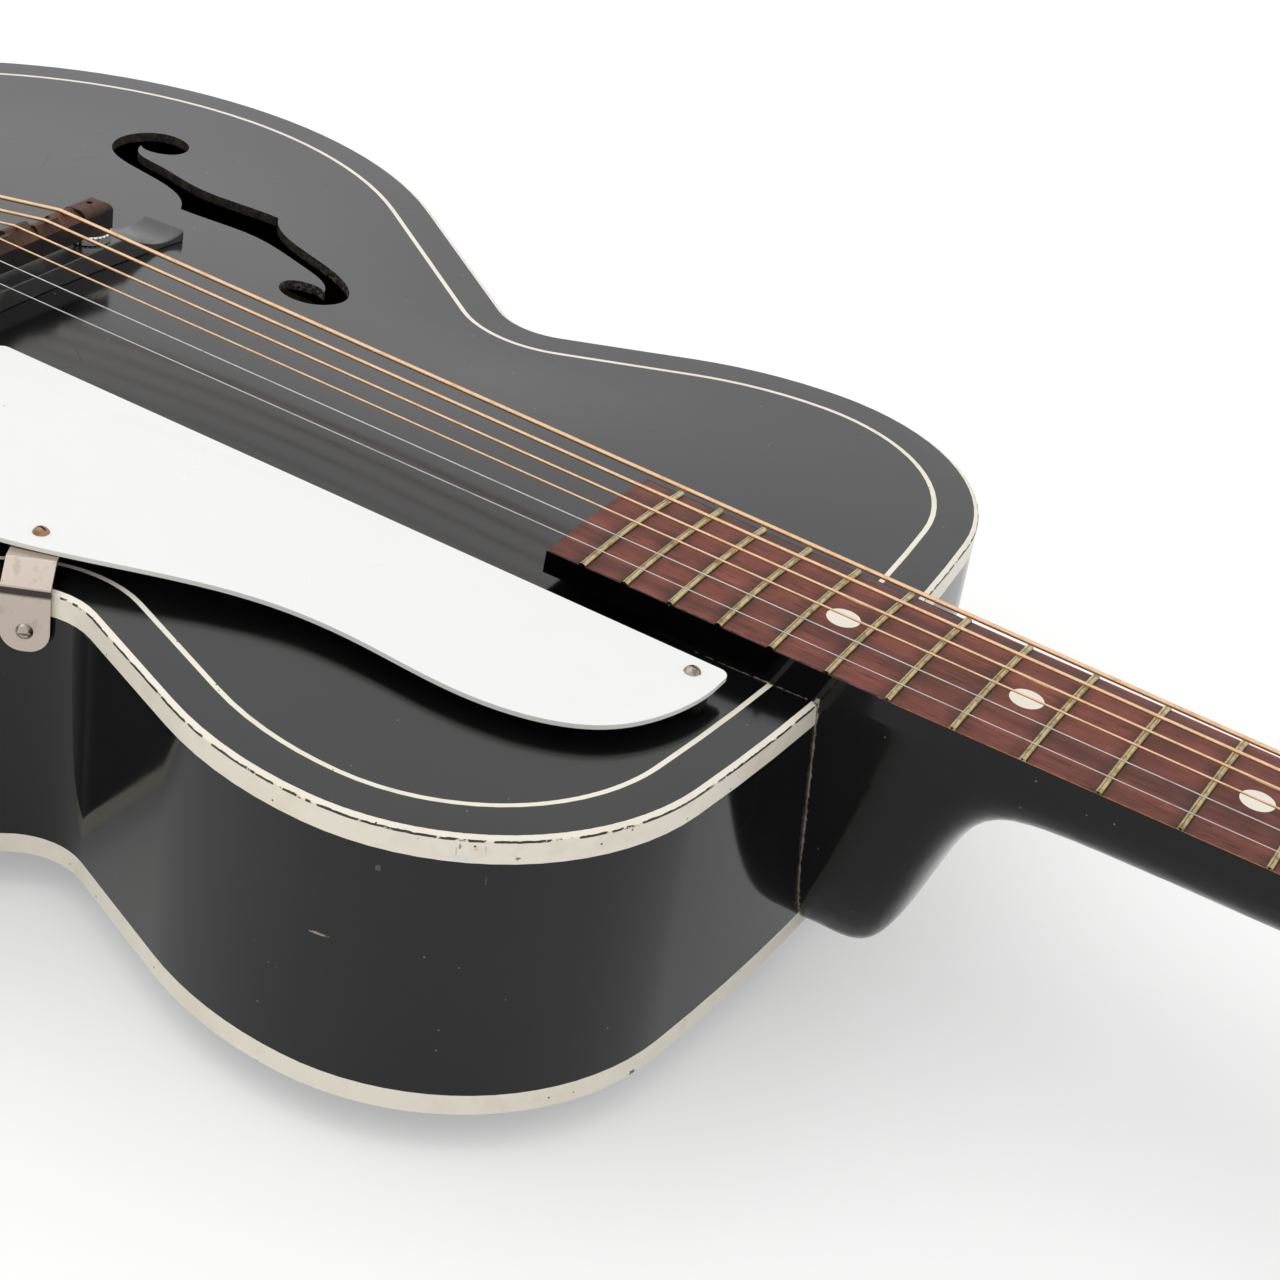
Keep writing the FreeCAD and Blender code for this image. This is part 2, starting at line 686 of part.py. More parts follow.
def build_neck():
    shaft = on_neck(neck_shaft())
    shaft = shaft.cut(rim_prism(0, -plenty, 0)).cut(body_zone)
    tongue_half = board_width(-s.tongue_length) / 2
    joint_half = board_width(0) / 2
    corners = [Vector(4, joint_half), Vector(-s.tongue_length, tongue_half),
               Vector(-s.tongue_length, -tongue_half), Vector(4, -joint_half)]
    face = Part.Face(Part.makePolygon(corners + corners[:1]))
    tongue = on_neck(face.extrude(Vector(0, 0, glue_z))).cut(below_top.cut(block(0, 9, -99, 99, -99, 9)))
    plug = tenon().common(on_neck(block(-99, 99, -99, 99, -plenty, glue_z)))
    head = head_slab(-s.head_thickness, 0)
    holes = sleeve_holes(-s.head_thickness - 1, 1)
    back = Vector(0, 0, -s.head_thickness)
    for spot in plate_screw_spots():
        holes.append(rod(spot + back, spot + back + Vector(0, 0, s.plate_screw_grip), s.screw_shank_radius))
    wood = shaft.fuse([tongue, plug, on_head(head)]).cut(on_head(compound_of(holes)))
    feature("neck", wood.removeSplitter().Solids[0])


# Body shell

def binding_slope():
    # the upper face falls from the plate's edge to the outer corner
    crest = rim_wire(s.binding_width)
    crest.translate(Vector(0, 0, s.edge_rise))
    cone = Part.makeLoft([rim_wire(0), crest], True, True)
    return cone.cut(rim_prism(s.binding_width, -1, s.edge_rise + 1))


def build_body():
    joint = tenon()
    low = -s.rim_depth
    purfling_ring = rim_prism(s.purfling_inset, -plenty, plenty)
    purfling_ring = purfling_ring.cut(rim_prism(s.purfling_inset + s.purfling_width, -plenty, plenty))
    purfling = slab(top_face, 0, -s.purfling_depth).common(purfling_ring).cut(joint)
    plate_prism = rim_prism(s.binding_width, -plenty, plenty)
    top = slab(top_face, 0, -s.top_thickness).common(plate_prism)
    top = top.cut([f_hole(1), f_hole(-1), purfling, joint])
    back = slab(back_face, 0, s.back_thickness).common(plate_prism)
    feature("top_plate", top)
    feature("top_purfling", purfling)
    feature("back_plate", back)
    strip = rim_ring(0, s.binding_width, -s.top_binding_height, 0)
    feature("top_binding", strip.fuse(binding_slope()).removeSplitter().cut(joint))
    feature("back_binding", rim_ring(0, s.binding_width, low, low + s.back_binding_height))
    wall = rim_ring(0, s.side_wall, low + s.back_binding_height, -s.top_binding_height).cut(joint)
    far = s.body_length + s.lower_bout_width
    pin_hole = rod(Vector(-far, 0, -s.pin_drop), Vector(0, 0, -s.pin_drop), s.pin_shank_radius)
    wall = wall.cut(pin_hole.common(block(-far, -s.waist_place, -far, far, low, 0)))
    wall = wall.cut(side_screw_hole())
    feature("bass_side", wall.common(block(-far, far, 0, far, low, 0)))
    feature("treble_side", wall.common(block(-far, far, -far, 0, low, 0)))
    inside = rim_prism(s.side_wall, -plenty, plenty)
    between = under_top_plate.common(over_back_plate)
    bound = [rim_ring(0, s.binding_width, -s.top_binding_height, 0),
             rim_ring(0, s.binding_width, low, low + s.back_binding_height)]
    neck_box = block(-s.neck_block_length, 0, -s.neck_block_width / 2, s.neck_block_width / 2, -plenty, plenty)
    tail_box = block(-s.body_length, s.tail_block_length - s.body_length,
                     -s.tail_block_width / 2, s.tail_block_width / 2, -plenty, plenty)
    feature("neck_block", neck_box.common(inside).common(between).cut(bound + [joint]))
    feature("tail_block", tail_box.common(inside).common(between).cut(bound + [pin_hole]))
    ring = inside.cut(rim_prism(s.side_wall + s.lining_width, -plenty, plenty)).cut([neck_box, tail_box])
    upper = ring.common(between).common(slab(top_face, -s.top_thickness, -s.lining_height))
    lower = ring.common(between).common(slab(back_face, s.back_thickness, s.lining_height))
    feature("top_lining", upper.cut(bound + [side_screw_hole()]))
    feature("back_lining", lower.cut(bound))
    bars = []
    bar_zone = slab(top_face, -s.top_thickness, -s.tone_bar_height)
    for side in (1, -1):
        front = side * s.tone_bar_spread_front / 2
        rear = side * s.tone_bar_spread_back / 2
        half = s.tone_bar_width / 2
        corners = [Vector(-s.tone_bar_start, front - half), Vector(-s.tone_bar_start, front + half),
                   Vector(-s.tone_bar_end, rear + half), Vector(-s.tone_bar_end, rear - half)]
        foot = Part.Face(Part.makePolygon(corners + corners[:1]))
        foot.translate(Vector(0, 0, -plenty))
        bars.append(foot.extrude(Vector(0, 0, 2 * plenty)).common(bar_zone))
    feature("tone_bars", compound_of(bars))


# Fretboard, frets and dots, in the neck frame

def ridge(x, width, low, high, hollow=0):
    # a strip across the board, bent round with it; low and high are over the board's round
    axis_z = board_top(0) - s.board_radius
    reach = math.degrees(math.asin(board_width(x) / 2 / s.board_radius))
    base = axis_z + s.board_radius
    if high > 0:
        sides = [Vector(x - width / 2, 0, base + low), Vector(x + width / 2, 0, base + low)]
        arch = Part.Arc(sides[1], Vector(x, 0, base + high), sides[0]).toShape()
        wires = [Part.Wire([Part.makeLine(*sides), arch])]
        if hollow:
            middle = Vector(x, 0, base + hollow * 0.42)
            circle = Part.makeCircle(hollow * 0.3, middle, Vector(0, 1, 0))
            wires.append(Part.Wire([circle]))
        face = Part.Face(wires)
    else:
        corners = [Vector(x - width / 2, 0, base + low), Vector(x + width / 2, 0, base + low),
                   Vector(x + width / 2, 0, base + high), Vector(x - width / 2, 0, base + high)]
        face = Part.Face(Part.makePolygon(corners + corners[:1]))
    axis = Vector(x, 0, axis_z)
    face.rotate(axis, Vector(1, 0, 0), -reach)
    return face.revolve(axis, Vector(1, 0, 0), 2 * reach)


dotted_frets = (3, 5, 7, 9, 12, 15)


def build_fretboard():
    frets = []
    slots = []
    for number in range(1, int(s.fret_count) + 1):
        x = fret_x(number)
        tang = ridge(x, s.tang_width, -s.tang_depth, 0)
        crown = ridge(x, s.fret_width, 0, s.fret_height, s.fret_hollow)
        slots.append(tang)
        frets.append(crown.fuse(tang).removeSplitter())
    dots = []
    deepest = s.board_edge - s.marker_depth
    for number in dotted_frets:
        x = (fret_x(number) + fret_x(number - 1)) / 2
        dots.append(rod(Vector(x, 0, glue_z + deepest), Vector(x, 0, s.board_rise + 9), s.marker_radius))
    axis_z = board_top(0) - s.board_radius
    round_top = rod(Vector(board_end_x - 1, 0, axis_z), Vector(nut_x + 1, 0, axis_z), s.board_radius)
    ends = [(board_end_x, board_width(board_end_x) / 2), (nut_x, board_width(nut_x) / 2)]
    corners = [Vector(ends[0][0], ends[0][1], glue_z), Vector(ends[1][0], ends[1][1], glue_z),
               Vector(ends[1][0], -ends[1][1], glue_z), Vector(ends[0][0], -ends[0][1], glue_z)]
    blank = Part.Face(Part.makePolygon(corners + corners[:1])).extrude(Vector(0, 0, 2 * s.board_edge))
    blank = blank.common(round_top)
    inlays = [dot.common(blank) for dot in dots]
    feature("fretboard", blank.cut(slots + inlays), neck_place)
    feature("frets", compound_of(frets), neck_place)
    feature("position_markers", compound_of(inlays), neck_place)


# Strings: straight runs, a bend at the saddle and at the nut, and turns on the post

def string_share(number):
    return (number - 1) / 5 - 0.5


def gauge(number):
    return float(sheet.get("gauge_%d" % number))


saddle_x = nut_x - s.scale_length - s.compensation


def facet_shift(number):
    return s.facet_stagger * (1 if number % 2 else -1)


def saddle_point(number):
    y = s.saddle_spread * string_share(number)
    return Vector(saddle_x + facet_shift(number), y, s.string_height - y ** 2 / (2 * s.board_radius))


def nut_point(number):
    y = s.nut_spread * string_share(number)
    z = board_top(y) + s.fret_height + s.string_over_fret
    return neck_place.multVec(Vector(nut_x, y, z + gauge(number) / 2))


def tail_point(number):
    return Vector(-s.trapeze_place, s.tail_spread * string_share(number), s.trapeze_height)


def post_turns(number):
    # tangent point and quarter turns on the post, worked out on the head
    side = tuner_side(number)
    centre = tuner_spot(number)
    radius = s.post_radius + s.string_clearance + gauge(number) / 2
    start = head_place.inverse().multVec(nut_point(number))
    away = Vector(start.x - centre.x, start.y - centre.y)
    turn = math.atan2(away.y, away.x) + side * math.acos(radius / away.Length)
    pitch = gauge(number) + s.turn_gap

    def spot(angle):
        n = s.wind_height - pitch * angle / (2 * math.pi)
        around = turn + side * angle
        return head_place.multVec(Vector(centre.x + radius * math.cos(around),
                                         centre.y + radius * math.sin(around), n))
    edges = []
    quarter = math.pi / 2
    for k in range(int(4 * s.string_turns)):
        points = [spot(quarter * (k + share)) for share in (0, 0.5, 1)]
        edges.append(Part.Arc(*points).toShape())
    return spot(0), edges


def rounded_runs(points, radii):
    edges = []
    start = points[0]
    for before, corner, after, radius in zip(points, points[1:], points[2:], radii):
        back = (before - corner).normalize()
        on = (after - corner).normalize()
        half = back.getAngle(on) / 2
        setback = radius / math.tan(half)
        enter = corner + back * setback
        leave = corner + on * setback
        toward = (back + on).normalize()
        deepest = corner + toward * (radius / math.sin(half) - radius)
        edges.append(Part.makeLine(start, enter))
        edges.append(Part.Arc(enter, deepest, leave).toShape())
        start = leave
    edges.append(Part.makeLine(start, points[-1]))
    return edges


def string_tube(number, radius):
    tangent, turns = post_turns(number)
    points = [tail_point(number), saddle_point(number), nut_point(number), tangent]
    path = Part.Wire(rounded_runs(points, (s.saddle_bend, s.nut_bend)) + turns)
    first = (points[1] - points[0]).normalize()
    ring = Part.Wire([Part.makeCircle(radius, points[0], first)])
    shell = Part.BRepOffsetAPI.MakePipeShell(path)
    shell.add(ring)
    shell.build()
    shell.makeSolid()
    return shell.shape(), path


def build_strings():
    for number in range(1, 7):
        tube, path = string_tube(number, gauge(number) / 2)
        section = math.pi * gauge(number) ** 2 / 4
        if abs(tube.Volume / (section * path.Length) - 1) > 0.02:
            raise ValueError("string %d has the wrong volume" % number)
        end = tail_point(number)
        along = (saddle_point(number) - end).normalize()
        ball = rod(end - along * s.ball_length, end, s.ball_radius)
        print("string %d: %.0f mm, least gap between turns %.2f mm" % (number, path.Length, s.turn_gap))
        feature("string_%d" % number, tube.fuse(ball).removeSplitter().Solids[0])


# Nut and head veneer

def build_nut():
    top = board_top(0) - glue_z + s.fret_height + s.string_over_fret + 0.4
    nut_block = primitive("Part::Box", "nut_block", Placement(Vector(nut_x, -s.nut_width / 2, glue_z), Rotation()),
                          Length="sizes.nut_thickness", Width="sizes.nut_width")
    nut_block.Height = top
    grooves = doc.addObject("Part::Feature", "nut_grooves")
    back = neck_place.inverse()
    tubes = []
    for number in range(1, 7):
        start = back.multVec(nut_point(number))
        tangent = back.multVec(post_turns(number)[0])
        saddle = back.multVec(saddle_point(number))
        radius = gauge(number) / 2 + s.string_clearance
        for far in (tangent, saddle):
            way = (far - start).normalize()
            tubes.append(rod(start - way * 0.5, start + way * 12, radius))
            lift = block(-0.5, 12, -radius, radius, 0, 6)
            lift.Placement = Placement(start, Rotation(Vector(1, 0, 0), way))
            tubes.append(lift)
    grooves.Shape = tubes[0].fuse(tubes[1:])
    nut = doc.addObject("Part::Cut", "nut")
    nut.Base = nut_block
    nut.Tool = grooves
    keep(nut, "nut", neck_place)


def build_veneer():
    veneer = head_slab(0, s.veneer_thickness).cut(sleeve_holes(-1, s.veneer_thickness + 1))
    nut_zone = on_neck(block(nut_x, head_x, -s.nut_width, s.nut_width, glue_z, glue_z + 4 * s.board_edge))
    feature("head_veneer", on_head(veneer).cut(nut_zone))


# Bridge

wheel_low = s.base_top + s.flat_clearance
saddle_low = wheel_low + s.wheel_thickness + s.flat_clearance


def build_bridge_base():
    half = s.base_length / 2
    flat = s.base_flat / 2
    scoop = Part.BSplineCurve()
    dip = half - (half - flat) * 0.45
    scoop.interpolate([Vector(0, half, s.wing_height), Vector(0, dip, s.wing_dip),
                       Vector(0, flat + (dip - flat) * 0.42, (s.wing_dip + s.base_top) / 2),
                       Vector(0, flat, s.base_top)])
    bass = [Part.makeLine(Vector(0, half, 0), Vector(0, half, s.wing_height)), scoop.toShape()]
    treble = [edge.mirror(Vector(), Vector(0, 1, 0)) for edge in bass]
    level = Part.makeLine(Vector(0, flat, s.base_top), Vector(0, -flat, s.base_top))
    floor = Part.makeLine(Vector(0, -half, 0), Vector(0, half, 0))
    face = Part.Face(Part.Wire(Part.__sortEdges__(bass + treble + [level, floor])))
    face.translate(Vector(saddle_x - s.base_width / 2, 0, 0))
    base = face.extrude(Vector(s.base_width, 0, 0)).cut(below_top)
    feature("bridge_base", base.cut([rod(*ends, s.bridge_post_radius) for ends in bridge_post_ends()]))


def bridge_post_ends():
    high = saddle_low + s.saddle_shoulder
    return [(Vector(saddle_x, side * s.post_spread / 2, s.base_top - s.bridge_post_grip),
             Vector(saddle_x, side * s.post_spread / 2, high)) for side in (1, -1)]


def build_bridge_posts():
    posts = []
    for k, (foot, head) in enumerate(bridge_post_ends()):
        post = primitive("Part::Cylinder", "bridge_post_%d" % (k + 1), Placement(foot, Rotation()),
                         Radius="sizes.bridge_post_radius")
        post.Height = head.z - foot.z
        posts.append(post)
    both = doc.addObject("Part::Compound", "bridge_posts")
    both.Links = posts
    keep(both, "bridge_posts")


def build_thumbwheel(label, side):
    wheel = doc.addObject("PartDesign::Body", label)
    bore = "sizes.bridge_post_radius + sizes.running_clearance"
    rim = outline(wheel, "XZ_Plane", label + "_profile", [
        (bore, "0"), ("sizes.wheel_radius - 0.4", "0"), ("sizes.wheel_radius", "0.4"),
        ("sizes.wheel_radius", "sizes.wheel_thickness - 0.4"),
        ("sizes.wheel_radius - 0.4", "sizes.wheel_thickness"), (bore, "sizes.wheel_thickness")])
    revolved(wheel, rim, label + "_disc")
    doc.recompute()
    vee = outline(wheel, "XY_Plane", label + "_vee", [
        ("sizes.wheel_radius - sizes.notch_depth", "0"), ("sizes.wheel_radius + 0.1", "-sizes.notch_depth"),
        ("sizes.wheel_radius + 0.1", "sizes.notch_depth")])
    notch = pocketed(wheel, vee, label + "_notch", "sizes.wheel_thickness", reverse=True)
    knurl = wheel.newObject("PartDesign::PolarPattern", label + "_knurl")
    knurl.Originals = [notch]
    knurl.Axis = (vee, ["N_Axis"])
    knurl.Angle = 360
    knurl.setExpression("Occurrences", "sizes.wheel_notches")
    wheel.Tip = knurl
    keep(wheel, label, Placement(Vector(saddle_x, side * s.post_spread / 2, wheel_low), Rotation()))


def build_saddle():
    half = s.saddle_length / 2
    inner = half - s.saddle_end_length
    width = s.saddle_width / 2
    body = block(-width, width, -half, half, 0, s.saddle_shoulder)
    for side in (1, -1):
        low, high = sorted((side * inner, side * half))
        end = block(-width, width, low, high, 0, s.saddle_end_height)
        crown = [edge for edge in end.Edges if edge.BoundBox.ZMin > s.saddle_shoulder
                 and abs(edge.BoundBox.YMax - side * inner) > 1e-3]
        body = body.fuse(end.makeFillet(s.saddle_end_round, crown))
    lane = s.saddle_spread / 5
    notches = []
    for number in range(1, 7):
        point = saddle_point(number)
        low = -inner if number == 1 else point.y - lane / 2
        high = inner if number == 6 else point.y + lane / 2
        crest = point.z - gauge(number) / 2 + s.saddle_notch - saddle_low
        shift = facet_shift(number)
        corners = [Vector(-width, low, 0), Vector(width, low, 0), Vector(width, low, s.saddle_shoulder),
                   Vector(shift + 0.6, low, crest), Vector(shift - 0.6, low, crest),
                   Vector(-width, low, s.saddle_shoulder)]
        face = Part.Face(Part.makePolygon(corners + corners[:1]))
        body = body.fuse(face.extrude(Vector(0, high - low, 0)))
        seat = Vector(shift, point.y, point.z - saddle_low)
        for far in (nut_point(number), tail_point(number)):
            way = (far - point).normalize()
            notches.append(rod(seat - way * 0.5, seat + way * s.saddle_width, gauge(number) / 2 + s.string_clearance))
    holes = []
    for foot, head in bridge_post_ends():
        way = Vector(0, foot.y, 0)
        bore_end = way + Vector(0, 0, head.z - saddle_low + 3 * s.flat_clearance)
        holes.append(rod(way - Vector(0, 0, 1), bore_end, s.bridge_post_radius + s.running_clearance))
        holes.append(rod(way, way + Vector(0, 0, 2 * s.saddle_end_height), s.saddle_slot))
    shape = body.removeSplitter().cut(notches + holes)
    feature("bridge_saddle", shape.Solids[0], Placement(Vector(saddle_x, 0, saddle_low), Rotation()))


# Pickguard with its spacer, bracket and screws

def guard_z(x, y):
    return s.guard_rise - s.guard_slope_x * x + s.guard_slope_y * y


guard_tilt = Rotation(Vector(0, 0, 1), Vector(s.guard_slope_x, -s.guard_slope_y, 1))
guard_place = Placement(Vector(0, 0, s.guard_rise), guard_tilt)

# Free edge of the pickguard from its front corner past the waist, from the neck end and
# from the centre line
guard_sweep = [(20, 48), (23, 63), (33, 79.5), (52, 89), (72, 91), (100, 89), (125, 90), (150, 96.5),
               (186, 109.5), (226, 114)]


def build_pickguard():
    corner = s.guard_corner
    top = -s.guard_inner_edge
    rear_top = -s.guard_inner_rear
    front = -s.guard_front
    back = -s.guard_back
    diagonal = corner * (1 - math.sqrt(0.5))
    sweep = Part.BSplineCurve()
    sweep.interpolate([Vector(-x, -y) for x, y in guard_sweep])
    last = Vector(-guard_sweep[-1][0], -guard_sweep[-1][1])
    turn_end = Vector(back, -0.8 * guard_sweep[-1][1])
    turn_mid = Vector(back + 0.26 * (last.x - back), -0.94 * guard_sweep[-1][1])
    edges = [
        Part.makeLine(Vector(back + corner, rear_top), Vector(front - corner, top)),
        Part.Arc(Vector(front - corner, top), Vector(front - diagonal, top - diagonal),
                 Vector(front, top - corner)).toShape(),
        Part.makeLine(Vector(front, top - corner), Vector(front, -guard_sweep[0][1])),
        sweep.toShape(),
        Part.Arc(last, turn_mid, turn_end).toShape(),
        Part.makeLine(turn_end, Vector(back, rear_top - corner)),
        Part.Arc(Vector(back, rear_top - corner), Vector(back + diagonal, rear_top - diagonal),
                 Vector(back + corner, rear_top)).toShape(),
    ]
    face = Part.Face(Part.Wire(Part.__sortEdges__(edges)))
    plate = face.extrude(Vector(0, 0, -s.guard_thickness))
    plate.Placement = guard_place
    feature("pickguard", plate.cut(guard_screw_holes()))


def guard_screw_axes():
    front = Vector(-s.guard_screw_x, -s.guard_screw_y)
    rear = bracket_point(s.bracket_inner - s.bracket_width / 2)
    return [Vector(spot.x, spot.y, guard_z(spot.x, spot.y)) for spot in (front, rear)]


def guard_screw_holes():
    along = guard_tilt.multVec(Vector(0, 0, s.guard_screw_length))
    return [rod(spot - along, spot + along, s.screw_shank_radius) for spot in guard_screw_axes()]


def bracket_place():
    # on the treble rim, with local x along the edge and local y into the body
    for near, far in zip(edge_points, edge_points[1:]):
        if far.x <= -s.bracket_place <= near.x:
            turn = math.degrees(math.atan2(near.y - far.y, near.x - far.x))
            spot = near + (far - near) * ((near.x + s.bracket_place) / (near.x - far.x))
            return Placement(Vector(spot.x, -spot.y, 0), Rotation(Vector(0, 0, 1), -turn))
    raise ValueError("the bracket lies off the body")


def bracket_point(inward):
    return bracket_place().multVec(Vector(0, inward, 0))


def bracket_gap():
    # the hollow of the waist stands back from the middle of the strip
    return s.bracket_width ** 2 / (8 * s.waist_radius) + 2 * s.flat_clearance


def build_bracket():
    inner = bracket_point(s.bracket_inner / 2)
    sheet_z = guard_z(inner.x, inner.y) - s.guard_thickness - 3 * s.flat_clearance
    gap = bracket_gap()
    thick = s.bracket_thickness
    bend = 4
    strip = [(s.bracket_inner, sheet_z), (bend, sheet_z), (-gap - thick, sheet_z - bend - gap),
             (-gap - thick, -s.bracket_drop), (-gap, -s.bracket_drop),
             (-gap, sheet_z - bend - gap - thick * 0.6), (bend + thick * 0.4, sheet_z - thick),
             (s.bracket_inner, sheet_z - thick)]
    corners = [Vector(-s.bracket_width / 2, y, z) for y, z in strip]
    face = Part.Face(Part.makePolygon(corners + corners[:1]))
    shape = face.extrude(Vector(s.bracket_width, 0, 0))
    upright = [edge for edge in shape.Edges
               if abs(edge.Length - thick) < 1e-6 and abs(edge.BoundBox.ZMax + s.bracket_drop) < 1e-6]
    shape = shape.makeFillet(s.bracket_width * 0.45, upright)
    shape.Placement = bracket_place()
    feature("pickguard_bracket", shape.cut(guard_screw_holes() + [side_screw_hole()]))


def side_screw_hole():
    place = bracket_place()
    start = place.multVec(Vector(0, -bracket_gap() - s.bracket_thickness - 1, -s.side_screw_drop))
    end = place.multVec(Vector(0, s.side_screw_length, -s.side_screw_drop))
    return rod(start, end, s.screw_shank_radius)


def dome_screw(length):
    # head up, with its seat at the origin
    radius = s.screw_head_radius
    height = s.screw_head_height
    ball = (radius ** 2 + height ** 2) / (2 * height)
    dome = Part.makeSphere(ball, Vector(0, 0, height - ball))
    head = dome.common(Part.makeCylinder(radius, height))
    slot = block(-radius, radius, -0.3, 0.3, height - 0.6, height + 1)
    shank = rod(Vector(0, 0, -length), Vector(), s.screw_shank_radius)
    return head.cut(slot).fuse(shank).removeSplitter()


def build_guard_fixings():
    screws = []
    for spot in guard_screw_axes():
        screw = dome_screw(s.guard_screw_length)
        screw.Placement = Placement(spot, guard_tilt)
        screws.append(screw)
    place = bracket_place()
    side = dome_screw(s.side_screw_length)
    seat = Vector(0, -bracket_gap() - s.bracket_thickness, -s.side_screw_drop)
    side.Placement = place * Placement(seat, Rotation(Vector(1, 0, 0), 90))
    feature("pickguard_screws", compound_of(screws + [side]))
    front = guard_screw_axes()[0]
    spacer = rod(Vector(front.x, front.y, -plenty / 2), Vector(front.x, front.y, plenty / 2), s.spacer_radius)
    under_guard = block(-s.body_length, 0, -s.lower_bout_width, 0, -plenty, -s.guard_thickness)
    under_guard.Placement = guard_place
    feature("pickguard_spacer", spacer.common(under_guard).cut(below_top).cut(guard_screw_holes()))


# Tailpiece, its hinge and the end pin

def build_tailpiece():
    bar_half = s.crossbar_length / 2
    x0 = -s.trapeze_place
    z0 = s.trapeze_height
    bar = block(x0, x0 + s.crossbar_width, -bar_half, bar_half, z0 - s.crossbar_height / 2,
                z0 + s.crossbar_height / 2)
    bar = bar.makeFillet(1.2, [edge for edge in bar.Edges if abs(edge.Length - s.crossbar_length) < 1e-6])
    hinge_x = s.hinge_place - s.body_length
    pin = Vector(hinge_x, 0, s.hinge_height)
    knuckle = s.hinge_width / 4 - s.flat_clearance
    arms = []
    for side in (1, -1):
        head = Vector(x0 + s.crossbar_width / 2, side * s.rod_spread / 2, z0)
        foot = Vector(hinge_x, side * (knuckle - 2 * s.rod_radius), s.hinge_height)
        arms.append(rod(foot, head, s.rod_radius))
    barrel = rod(pin - Vector(0, knuckle, 0), pin + Vector(0, knuckle, 0), s.hinge_radius)
    holes = []
    for number in range(1, 7):
        point = tail_point(number)
        along = (saddle_point(number) - point).normalize()
        holes.append(rod(point - along * 3, point + along * 14, gauge(number) / 2 + 3 * s.string_clearance))
        holes.append(rod(point - along * 8, point, s.ball_radius + s.string_clearance))
    pin_hole = rod(pin - Vector(0, 99, 0), pin + Vector(0, 99, 0), s.hinge_pin_radius + s.running_clearance)
    shape = bar.fuse(arms + [barrel]).removeSplitter().cut(holes + [pin_hole])
    feature("tailpiece", shape.Solids[0])


def tail_screw_spots():
    low = s.hinge_drop - 6
    return [Vector(-s.body_length, 0, -low), Vector(-s.body_length, 9, -s.pin_drop + 16),
            Vector(-s.body_length, -9, -s.pin_drop + 16)]


def build_tail_hinge():
    hinge_x = s.hinge_place - s.body_length
    half = s.hinge_width / 2
    sheet_t = s.hinge_sheet
    tail = -s.body_length
    leaf = block(tail - sheet_t, hinge_x, -half, half, 0, sheet_t)
    plate = block(tail - sheet_t, tail, -half, half, -s.hinge_drop, sheet_t)
    tapered = plate.makeFillet(half * 0.8, [edge for edge in plate.Edges if
                                            abs(edge.Length - sheet_t) < 1e-6 and
                                            abs(edge.BoundBox.ZMax + s.hinge_drop) < 1e-6])
    pin = Vector(hinge_x, 0, s.hinge_height)
    outer = half - s.hinge_width / 4
    lugs = []
    for side in (1, -1):
        inner = pin + Vector(0, side * s.hinge_width / 4, 0)
        lugs.append(rod(inner, inner + Vector(0, side * outer, 0), s.hinge_radius))
        low, high = sorted((inner.y, inner.y + side * outer))
        lugs.append(block(hinge_x - s.hinge_radius, hinge_x + s.hinge_radius, low, high, 0, s.hinge_height))
    axle = rod(pin - Vector(0, half, 0), pin + Vector(0, half, 0), s.hinge_pin_radius)
    slot = block(hinge_x - s.hinge_radius - 0.5, hinge_x + 9, -half / 2, half / 2, -1, sheet_t + 1)
    shape = leaf.cut(slot).fuse([tapered, axle] + lugs).cut(body_zone)
    hole = rod(Vector(tail - 9, 0, -s.pin_drop), Vector(tail + 9, 0, -s.pin_drop), s.pin_shank_radius)
    holes = [rod(spot - Vector(9, 0, 0), spot + Vector(9, 0, 0), s.screw_shank_radius)
             for spot in tail_screw_spots()]
    feature("tailpiece_hinge", shape.cut([hole] + holes).removeSplitter().Solids[0])
    screws = []
    for spot in tail_screw_spots():
        screw = dome_screw(s.tail_screw_length)
        screw.Placement = Placement(spot - Vector(sheet_t, 0, 0), Rotation(Vector(0, 1, 0), -90))
        screws.append(screw)
    feature("tailpiece_screws", compound_of(screws))
    for name in ("bass_side", "treble_side", "tail_block", "back_lining", "top_lining"):
        pieces[name].Shape = pieces[name].Shape.cut(compound_of(screws))


def build_end_pin():
    pin = doc.addObject("PartDesign::Body", "end_pin")
    shank = "sizes.pin_shank_radius"
    neck = "sizes.pin_neck_radius"
    head = "sizes.pin_head_radius"
    long = "sizes.pin_neck_length"
    tip = "sizes.pin_neck_length + sizes.pin_head_length"
    profile = outline(pin, "XZ_Plane", "end_pin_profile", [
        ("0", "-sizes.pin_shank_length"), (shank, "-sizes.pin_shank_length"), (shank, "0"),
        (neck, "0"), (neck, long), (head, long), (head, tip), ("0", tip)])
    revolved(pin, profile, "end_pin_turned")
    spot = Vector(-s.body_length - s.hinge_sheet, 0, -s.pin_drop)
    keep(pin, "end_pin", Placement(spot, Rotation(Vector(0, 1, 0), -90)))


# Tuners: plates with folded ears, worm shafts, wheels on the string posts, buttons

